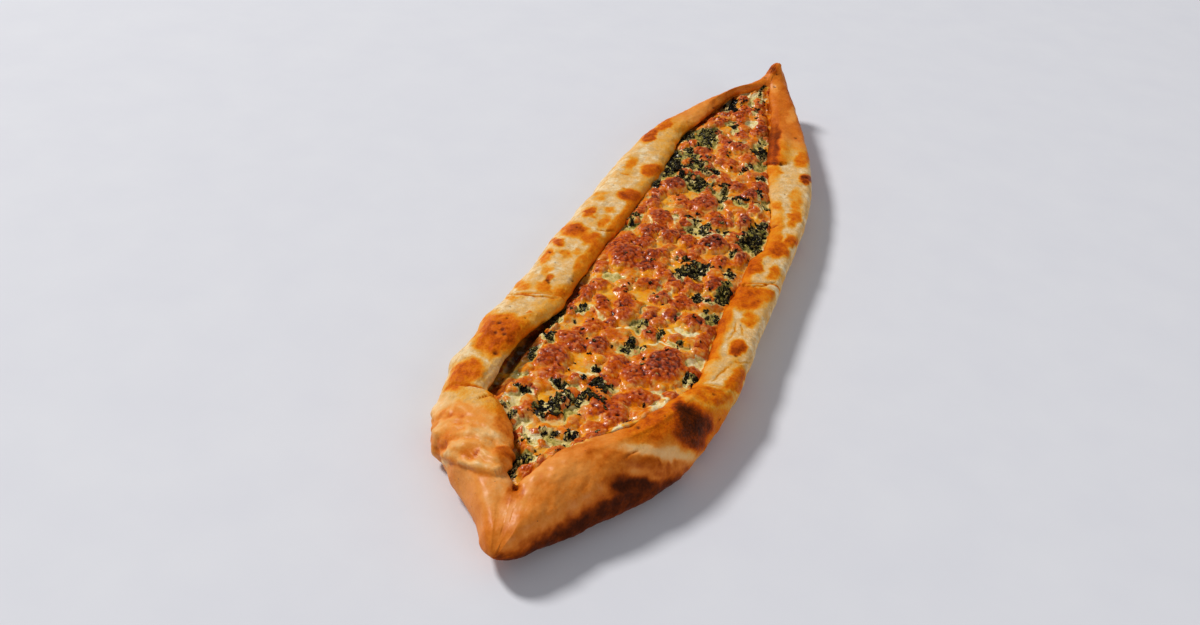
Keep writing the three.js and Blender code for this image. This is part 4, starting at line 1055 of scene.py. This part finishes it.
def crust_relief(points, place):
    """How far the crust stands out or in, in millimetres, and how much each point is
    marked dark, scorched beside a crack, or covered by cheese that has run over."""
    relief = 0.5 * layered_noise(points, 15, 2, 31) + 0.20 * layered_noise(points, 5.5, 2, 32)
    relief += 0.07 * layered_noise(points, 1.8, 2, 33)
    # The outer edge is pinched unevenly all along.
    side = smooth_step(1 - np.abs(points[..., 2] - 7) / 9)
    edge_line = points * (0.25, 1, 0.35)
    relief += side * 0.6 * layered_noise(edge_line, 11, 3, 34)
    # Long shallow wrinkles where the left flap is folded, and puckers at the low end.
    wrinkled = blot(place, *WRINKLES, 0.8)
    relief += wrinkled * 0.32 * soft_noise(points * (1, 0.12, 1), 1.9, 35)
    above, lobe_side = above_lobe_edge(place)
    raised = lobe_side * smooth_step(above / 1.6 + 0.5)
    relief += raised * LOBE_STEP * (1 - smooth_step((above - 5) / 16))
    relief += raised * 1.2 * (1 - smooth_step((above - 14) / 14)) * lobe_folds(points)
    relief += raised * 0.12 * soft_noise(points * (1, 0.4, 1), 1.6, 47)
    relief += 0.9 * blot(place, *KNOB, 0.9)
    _, roll, strip = roll_shares(points, place)
    relief += ROLL["height"] * roll
    relief -= 0.3 * strip
    # The lips wave a little along the bread.
    wave = 0.55 * (1 - smooth_step((lip_gap(points) - 1) / 3))
    wave = wave * layered_noise(points * (0.2, 1, 0.2), 6.5, 2, 43)
    relief += wave * (1 - strip) * smooth_step((166 - np.abs(points[..., 1])) / 6)
    relief += blot(place, *TALL_FOLD, 0.8) * (0.6 * layered_noise(points * (1, 0.5, 0.6), 9, 3, 38)
                                              + 0.22 * layered_noise(points, 3.4, 2, 46))
    # Blisters stand up where the dough is toasted, with a rough top on the largest.
    relief += 0.32 * strongest(place, [(*spot, 1) for *spot, tone in TOAST if tone > BLISTERED], 0.9)
    rough = blot(place, *ROUGH_BLISTER, 0.6) + 0.5 * blot(place, *SMALL_BLISTER, 0.7)
    relief += rough * (0.4 * layered_noise(points, 2.2, 3, 39) - 0.1)
    # Hairline cracks, with a raised edge and a scorched one, and then specks and pits.
    mark = np.zeros(relief.shape)
    scorch = np.zeros(relief.shape)
    crack_place = place + 0.5 * drift(points, 2.5, 1, 41)
    for depth, path in CRACKS:
        away, along = distance_to_path(crack_place, path)
        taper = np.sqrt(np.clip(4 * along * (1 - along), 0, 1)) * 0.7 + 0.3
        relief -= min(depth, 1.5 * depth ** 2) * taper * np.exp(-(away / 0.42) ** 2)
        relief += 0.2 * depth * np.exp(-((away - 1.2) / 0.7) ** 2)
        mark = np.maximum(mark, 0.7 * depth * taper * np.exp(-(away / 0.3) ** 2))
        scorch = np.maximum(scorch, min(1, 1.4 * depth + 0.2) * taper * np.exp(-(away / 0.55) ** 2))
    for px, py, radius in SPECKS:
        away = np.hypot(place[..., 0] - px, place[..., 1] - py) / radius
        relief -= 0.4 * np.exp(-away ** 2)
        mark = np.maximum(mark, 0.85 * smooth_step(1.5 - away))
    ragged = 0.9 * layered_noise(points, 2.6, 3, 44)
    away, _ = distance_to_path(place, OVERFLOW)
    overflow = smooth_step((OVERFLOW_WIDTH + ragged - away) / 0.8)
    relief += overflow * (0.5 + 0.4 * layered_noise(points, 1.8, 2, 45))
    return relief, mark, scorch, overflow


def build_crust(material):
    y = crust_stations()
    loops = crust_loops(y)
    place = mark_place(loops)
    tone = crust_tone(loops, place)
    relief, mark, scorch, overflow = crust_relief(loops, place)
    cut = np.where(loops[..., 0] < 0, cut_depth(LEFT_RIM, y)[:, None], cut_depth(RIGHT_RIM, y)[:, None])
    cut_toast = smooth_step(cut / 1.1) * smooth_step((loops[..., 2] - 10) / 4)
    tone = np.maximum(tone, np.maximum(0.66 * scorch, 0.56 * cut_toast))
    # The relief ends where the bread rests and inside the cavity, and is low at the tips.
    resting = smooth_step((loops[..., 2] - underside(loops[..., 1])) / 2)
    rim_size = rim_section(LEFT_RIM, y[:1], RIM_STEPS).shape[1]
    left_start = rim_size + len(FLOOR_SHARES)
    open_air = np.zeros(loops.shape[1])
    open_air[:rim_size - WALL_POINTS] = 1
    open_air[left_start + WALL_POINTS:left_start + rim_size] = 1
    ends = tip_scale(loops[..., 1].clip(-HALF, HALF))
    relief *= resting * open_air[None, :] * mix(0.4, 1, ends)
    points = loops + surface_normals(loops) * relief[..., None]
    points[..., 2] = np.maximum(points[..., 2], 0)
    gloss = np.clip(0.25 + 0.9 * (tone - 0.3) + 0.25 * layered_noise(loops, 3, 2, 51), 0, 0.9)
    shades = {"tone": tone, "mark": mark, "gloss": gloss, "overflow": overflow,
              "glaze_and_sheen": glazed_share(loops, place)}
    attributes = {key: (shade, (shade[0].mean(), shade[-1].mean())) for key, shade in shades.items()}
    piece = closed_loft("baked_crust", kept_inside(points), attributes, material)
    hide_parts("dough_crust")
    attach(piece, "root")


# The filling.

class Filling:
    """The top of the filling on a grid of stations along the bread and columns across it."""

    def __init__(self):
        count = int((FILLING_END - FILLING_START) / FILLING_STATION)
        self.y = np.linspace(FILLING_START, FILLING_END, count)
        left = rim_section(LEFT_RIM, self.y, (1,) * len(RIM_STEPS))
        right = rim_section(RIGHT_RIM, self.y, (1,) * len(RIM_STEPS))
        self.left_x = left[:, SHELF_POINT, 0] + WALL_GAP
        self.left_shelf = left[:, SHELF_POINT, 1]
        self.right_x = right[:, SHELF_POINT, 0] - WALL_GAP
        self.right_shelf = right[:, SHELF_POINT, 1]
        share = np.linspace(0, 1, FILLING_COLUMNS)[None, :]
        x = mix(self.right_x[:, None], self.left_x[:, None], share)
        y = np.broadcast_to(self.y[:, None], x.shape)
        self.place = np.stack([x, leaned(x, y)], axis=-1)
        self.shape(x, y)

    def shape(self, x, y):
        from_left = x - LEFT_RIM["lip"](y)
        from_right = RIGHT_RIM["lip"](y) - x
        from_lips = np.minimum(from_left, from_right)
        base = filling_top(y) - left_drop(y) * (1 - smooth_step(from_left / DROP_REACH))
        base = base - right_drop(y) * (1 - smooth_step(from_right / DROP_REACH))
        surface = np.stack([x, self.place[..., 1], base + 1], axis=-1)
        seen = mark_place(surface)
        level = surface * (1, 1, 0)
        place = seen + 1.7 * drift(level, 5.5, 3, 61)
        sway = np.concatenate([drift(level, 2.5, 1, 71), np.zeros(x.shape + (1,))], axis=-1)

        # Small lumps lie everywhere, each with its own height and tone.
        first, _, number = cells(level + sway, 6.2, 60)
        small = np.sqrt(np.clip(1 - (first / 0.62) ** 2, 0, 1)) * (number > 0.32)
        dome = 1.7 * small * number
        brown = 0.18 + 0.15 * layered_noise(level, 8, 3, 63)
        brown += 0.08 * smooth_step((seen[..., 1] - 20) / 100)
        near = smooth_step((-50 - seen[..., 1]) / 30)
        brown = mix(brown, 0.3 - 0.06 * near + 0.36 * np.mod(7.3 * number, 1), smooth_step(small / 0.5))
        lump_brown = mix(LUMP_BROWN_NEAR, LUMP_BROWN_FAR, smooth_step((seen[..., 1] + 120) / 240))
        for px, py, half_width, half_length, height, tone in BROWNED:
            away = np.hypot((place[..., 0] - px) / half_width, (place[..., 1] - py) / half_length)
            cap = np.clip(1 - away ** 2, 0, 1)
            dome = np.maximum(dome, 1.15 * height * cap ** 0.5)
            brown = np.maximum(brown, lump_brown * tone * smooth_step((1.1 - away) / 0.5) * (0.8 + 0.2 * cap))
        bare = (0.9 - 0.5 * near) * smooth_step((layered_noise(level, 8, 3, 75) - 0.32) / 0.3)
        green = bare * (0.25 + 0.25 * layered_noise(level, 12, 1, 74))
        for *spot, tint in BARE:
            share = blot(place, *spot, 0.5)
            bare = np.maximum(bare, share)
            green = np.maximum(green, share * tint)
        bare = bare * (1 - smooth_step((dome - 0.5) / 0.7))
        leafy = strongest(place, SPINACH, 0.7)
        sunk = strongest(place, HOLLOWS, 0.9)
        string = np.zeros_like(x)
        for width, path in STRINGS:
            away, along = distance_to_path(place, path)
            taper = smooth_step(4 * along * (1 - along) + 0.3)
            string = np.maximum(string, np.exp(-(away / width) ** 2) * taper)

        # Browned cheese is bubbled, bare filling is low, and spinach is crumpled.
        browned = smooth_step((brown - 0.3) / 0.3) * (1 - bare)
        bubbles = 0.75 * pebbles(level + 0.9 * sway, 3.6, 64)
        bubbles += 0.3 * pebbles(level + 0.5 * sway, 1.9, 65)
        bubbles += 0.3 * (1 - 1.8 * np.abs(layered_noise(level, 3.2, 2, 78)))
        height = dome * (1 - 0.6 * bare) + browned * (bubbles - 0.45)
        height += 0.32 * layered_noise(level, 6, 2, 66) + 0.12 * layered_noise(level, 2.2, 2, 67)
        height -= 0.7 * bare * (1 - string)
        height += bare * 0.35 * layered_noise(level, 1.6, 2, 69)
        crumple = 1 - 1.7 * np.abs(layered_noise(level, 2.6, 3, 70))
        leaf = smooth_step((0.95 * leafy + 0.9 * layered_noise(level, 2.2, 2, 76) - 0.62) / 0.2)
        bare = np.maximum(bare, 0.95 * smooth_step(leafy / 0.4))
        green = np.maximum(green, 0.3 * smooth_step(leafy / 0.6))
        height += leaf * (0.8 * crumple - 0.1)
        height += 0.3 * string
        height -= sunk
        # Under the flaps it keeps low, and nowhere does it touch the dough below.
        z = base + height * smooth_step(from_lips / 3 + 0.25)
        ceiling = np.minimum(
            np.where(from_left < 0, self.left_shelf[:, None] - SHELF_GAP, NO_CEILING),
            np.where(from_right < 0, self.right_shelf[:, None] - SHELF_GAP, NO_CEILING))
        z = np.minimum(z, ceiling + smooth_step(from_lips / 2 + 0.5) * 6)
        self.floor = cavity_floor(self.y)[:, None] + GAP
        self.z = np.maximum(z, self.floor + 0.6)

        # The colours: painted shade darkens a cavity and makes bare filling there greener, and a painted
        # highlight makes the top of a bubble paler.
        cavity = np.clip((blurred(self.z, 10) - self.z) / 0.4, -1, 1)
        crease_shade = (0.1 + 0.14 * browned) * cavity + 0.2 * browned * smooth_step((cavity - 0.3) / 0.5)
        self.brown = np.clip(brown + crease_shade - 0.3 * string, 0, 1)
        self.top = browned * np.clip(-1.5 * cavity - 0.05, 0, 1)
        self.bare = np.clip(np.maximum(bare, 0.8 * string) - 0.35 * browned, 0, 1)
        self.green = np.clip(green + 0.2 * np.clip(cavity, 0, 1), 0, 1)
        self.leaf = LEAF_COVER * leaf
        # The ridges of crumpled spinach colour it lighter, a painted highlight, and its folds darker, a
        # painted shade.
        self.ridge = np.clip(crumple + 0.25 * layered_noise(level, 5, 2, 77) - 0.16, 0, 1)
        # Painted shade: dark in the deepest hollows and along the left lip, where the lip's shadow falls.
        deep = smooth_step((np.maximum(sunk, 0) - 0.3) / 2)
        lip_shadow = 1 - smooth_step(np.minimum(from_left, from_right + 1) / 2.2)
        self.dark = np.clip(0.75 * deep + 0.5 * lip_shadow * (from_left < from_right), 0, 0.9)

    def height_at(self, x, y):
        """The height of the top at places in plan."""
        row = np.clip((y - self.y[0]) / (self.y[1] - self.y[0]), 0, len(self.y) - 1.001)
        right = np.interp(y, self.y, self.right_x)
        left = np.interp(y, self.y, self.left_x)
        column = np.clip((x - right) / (left - right), 0, 1) * (FILLING_COLUMNS - 1)
        column = np.clip(column, 0, FILLING_COLUMNS - 1.001)
        i, j = row.astype(int), column.astype(int)
        s, t = row - i, column - j
        z = self.z
        return mix(mix(z[i, j], z[i, j + 1], t), mix(z[i + 1, j], z[i + 1, j + 1], t), s)

    def build(self, material):
        top = np.concatenate([self.place, self.z[..., None]], axis=-1)
        middle = (self.right_x + self.left_x) / 2
        below_x = np.stack([self.left_x, middle, self.right_x], axis=1)
        below_y = leaned(below_x, np.broadcast_to(self.y[:, None], below_x.shape))
        below = np.stack([below_x, below_y, np.broadcast_to(self.floor, below_x.shape)], axis=-1)
        attributes = {}
        for key in ("brown", "top", "bare", "green", "dark", "leaf", "ridge"):
            values = np.concatenate([getattr(self, key), np.zeros(below_x.shape)], axis=1)
            attributes[key] = (values, (0, 0))
        piece = closed_loft("cheese_filling", np.concatenate([top, below], axis=1), attributes, material)
        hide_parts("spinach_cheese_filling")
        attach(piece, "root")


# Spinach.

def leaf_sheet(rows, columns, half_length, half_width, random, frill):
    """A thin frilly sheet: places along and across it, and how high each stands off what it lies on."""
    u = np.linspace(-1, 1, rows)[:, None]
    v = np.linspace(-1, 1, columns)[None, :]
    phase = random.uniform(0, 2 * math.pi, 6)
    reach = half_width * (0.16 + 0.84 * np.sqrt(np.clip(1 - u * u, 0, 1)))
    ragged = 1 + 0.22 * np.sin(7 * u + phase[0]) + 0.12 * np.sin(17 * u + phase[1])
    across = v * reach * ragged + 0.12 * half_length * np.sin(2 * u + phase[2])
    along = u * half_length * (1 + 0.08 * np.sin(5 * v + phase[3]))
    wave = np.sin(5.5 * u + 2.6 * v + phase[4]) * 0.5 + np.sin(11 * u - 4 * v + phase[5]) * 0.3 * np.abs(v)
    folds = np.sin(19 * u + 7 * v + 2 * phase[0]) * np.sin(9 * v - 8 * u + phase[3])
    lift = frill * (0.55 + wave * (0.35 + 0.65 * np.abs(v)) + 0.22 * folds)
    return np.broadcast_to(along, lift.shape), across, lift


def sheet_faces(rows, columns, start):
    """Both faces and the rim of a thin sheet whose upper points follow its lower ones."""
    lower = start + np.arange(rows * columns).reshape(rows, columns)
    shift = rows * columns
    a, b = lower[:-1, :-1].ravel(), lower[:-1, 1:].ravel()
    c, d = lower[1:, 1:].ravel(), lower[1:, :-1].ravel()
    quads = [np.stack([a, d, c, b], axis=1), np.stack([a, b, c, d], axis=1) + shift]
    rim = np.concatenate([lower[0, :-1], lower[:-1, -1], lower[-1, :0:-1], lower[:0:-1, 0]])
    onward = np.roll(rim, -1)
    quads.append(np.stack([rim, onward, onward + shift, rim + shift], axis=1))
    return np.concatenate(quads)


def laid_leaf(filling, leaf, random, frill, sink, thickness, grid):
    """A leaf's points draped on the filling, lower face first, and how far each point stands up."""
    x, y, heading, half_length, half_width = leaf
    along, across, lift = leaf_sheet(*grid, half_length, half_width, random, frill)
    angle = math.radians(heading)
    px = x + across * math.cos(angle) - along * math.sin(angle)
    py = y + across * math.sin(angle) + along * math.cos(angle)
    ground = filling.height_at(px, py)
    ground = mix(ground, ground.mean(), 0.35)
    lower = np.stack([px, py, ground + lift - sink], axis=-1).reshape(-1, 3)
    upper = lower + (0, 0, thickness)
    # The ridge value colours the leaf lighter on its waves, a painted highlight, and its lower face is given
    # less of it, a painted shade.
    ridge = np.clip(lift.ravel() / max(frill, 1e-6) * 1.05 - 0.12, 0, 1)
    return np.concatenate([lower, upper]), np.concatenate([ridge * 0.7, ridge])


def build_leaves(filling, material):
    random = np.random.default_rng(SHRED_SEED + 1)
    for number, (leaf, light) in enumerate(zip(LEAVES, LEAF_LIGHT), 1):
        points, ridge = laid_leaf(filling, leaf, random, LEAF_FRILL, LEAF_SINK, LEAF_THICKNESS, LEAF_GRID)
        faces = sheet_faces(*LEAF_GRID, 0).tolist()
        piece = make_mesh(f"wilted_leaf_{number}", points, faces, {"ridge": ridge * light}, material)
        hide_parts(f"spinach_leaf_{number}")
        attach(piece, "root")


def build_shreds(filling, material):
    """Small crumpled shreds of spinach, thick where it lies bare and few elsewhere."""
    random = np.random.default_rng(SHRED_SEED)
    spots = []
    for px, py, half_width, half_length, cover in SPINACH:
        area = math.pi * half_width * half_length
        for _ in range(max(2, int(area * cover * SHREDS_PER_MM2))):
            radius = math.sqrt(random.uniform(0, 1))
            turn = random.uniform(0, 2 * math.pi)
            spots.append((px + half_width * radius * math.cos(turn),
                          py + half_length * radius * math.sin(turn), random.uniform(0.6, 1.8)))
    for _ in range(STRAY_SHREDS):
        py = random.uniform(FILLING_START + 8, FILLING_END - 8)
        low, high = LEFT_RIM["lip"](py) + 2, RIGHT_RIM["lip"](py) - 2
        spots.append((random.uniform(low, high), py, random.uniform(0.5, 1.2)))
    points, ridges, faces = [], [], []
    start = 0
    for seen_x, seen_y, half_length in spots:
        height = float(filling_top(seen_y)) - MARK_HEIGHT
        x = seen_x + SIGHT_SHIFT[0] * height
        y = seen_y + SIGHT_SHIFT[1] * height
        low, high = float(LEFT_RIM["lip"](y)) + 0.3, float(RIGHT_RIM["lip"](y)) - 0.3
        if high <= low:
            continue
        x = min(max(x, low), high)
        half_width = half_length * random.uniform(0.35, 0.75)
        shred = (x, y, random.uniform(0, 180), half_length, half_width)
        laid, ridge = laid_leaf(filling, shred, random, 0.45 + 0.2 * half_length, SHRED_SINK,
                                SHRED_THICKNESS, SHRED_GRID)
        points.append(laid)
        ridges.append(np.clip(ridge * random.uniform(0.25, 1.65), 0, 1))
        faces.append(sheet_faces(*SHRED_GRID, start))
        start += len(laid)
    piece = make_mesh("spinach_shreds", np.concatenate(points), np.concatenate(faces).tolist(),
                      {"ridge": np.concatenate(ridges)}, material)
    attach(piece, "root")


# The setting.

def build_stage():
    mesh = bpy.data.meshes.new("floor")
    corners = [(FLOOR_REACH * x, FLOOR_REACH * y, 0) for x, y in ((-1, -1), (1, -1), (1, 1), (-1, 1))]
    mesh.from_pydata(corners, [], [(0, 1, 2, 3)])
    mesh.materials.append(floor_finish())
    floor = bpy.data.objects.new("floor", mesh)
    bpy.context.scene.collection.objects.link(floor)
    floor.location.z = -FLOOR_DROP


def build_lights():
    for name, place, size, power, colour in LIGHTS:
        data = bpy.data.lights.new(name, "AREA")
        data.shape = "DISK"
        data.size = size
        data.energy = power
        data.color = colour
        lamp = bpy.data.objects.new(name, data)
        lamp.location = place
        lamp.rotation_euler = (-Vector(place)).to_track_quat("-Z", "Y").to_euler()
        bpy.context.scene.collection.objects.link(lamp)
    world = bpy.data.worlds.new("studio")
    world.use_nodes = True
    background = world.node_tree.nodes["Background"]
    background.inputs["Color"].default_value = SKY_COLOUR
    background.inputs["Strength"].default_value = SKY_STRENGTH
    bpy.context.scene.world = world


def build_camera():
    data = bpy.data.cameras.new("camera")
    data.sensor_fit = "HORIZONTAL"
    data.sensor_width = SENSOR_WIDTH
    data.lens = FOCAL_PIXELS / FRAME_PIXELS * SENSOR_WIDTH
    data.clip_start = 0.01
    camera = bpy.data.objects.new("camera", data)
    right, up, back = Vector(CAMERA_RIGHT), Vector(CAMERA_UP), -Vector(CAMERA_FORWARD)
    turn = Matrix((right, up, back)).transposed().to_4x4()
    camera.matrix_world = Matrix.Translation(Vector(CAMERA_PLACE) * MM) @ turn
    bpy.context.scene.collection.objects.link(camera)
    bpy.context.scene.camera = camera


build_camera()
build_stage()
build_lights()
bpy.context.scene.view_settings.view_transform = "Standard"

build_crust(crust_finish())
filling = Filling()
filling.build(cheese_finish())
leaf_material = spinach_finish()
build_leaves(filling, leaf_material)
build_shreds(filling, leaf_material)
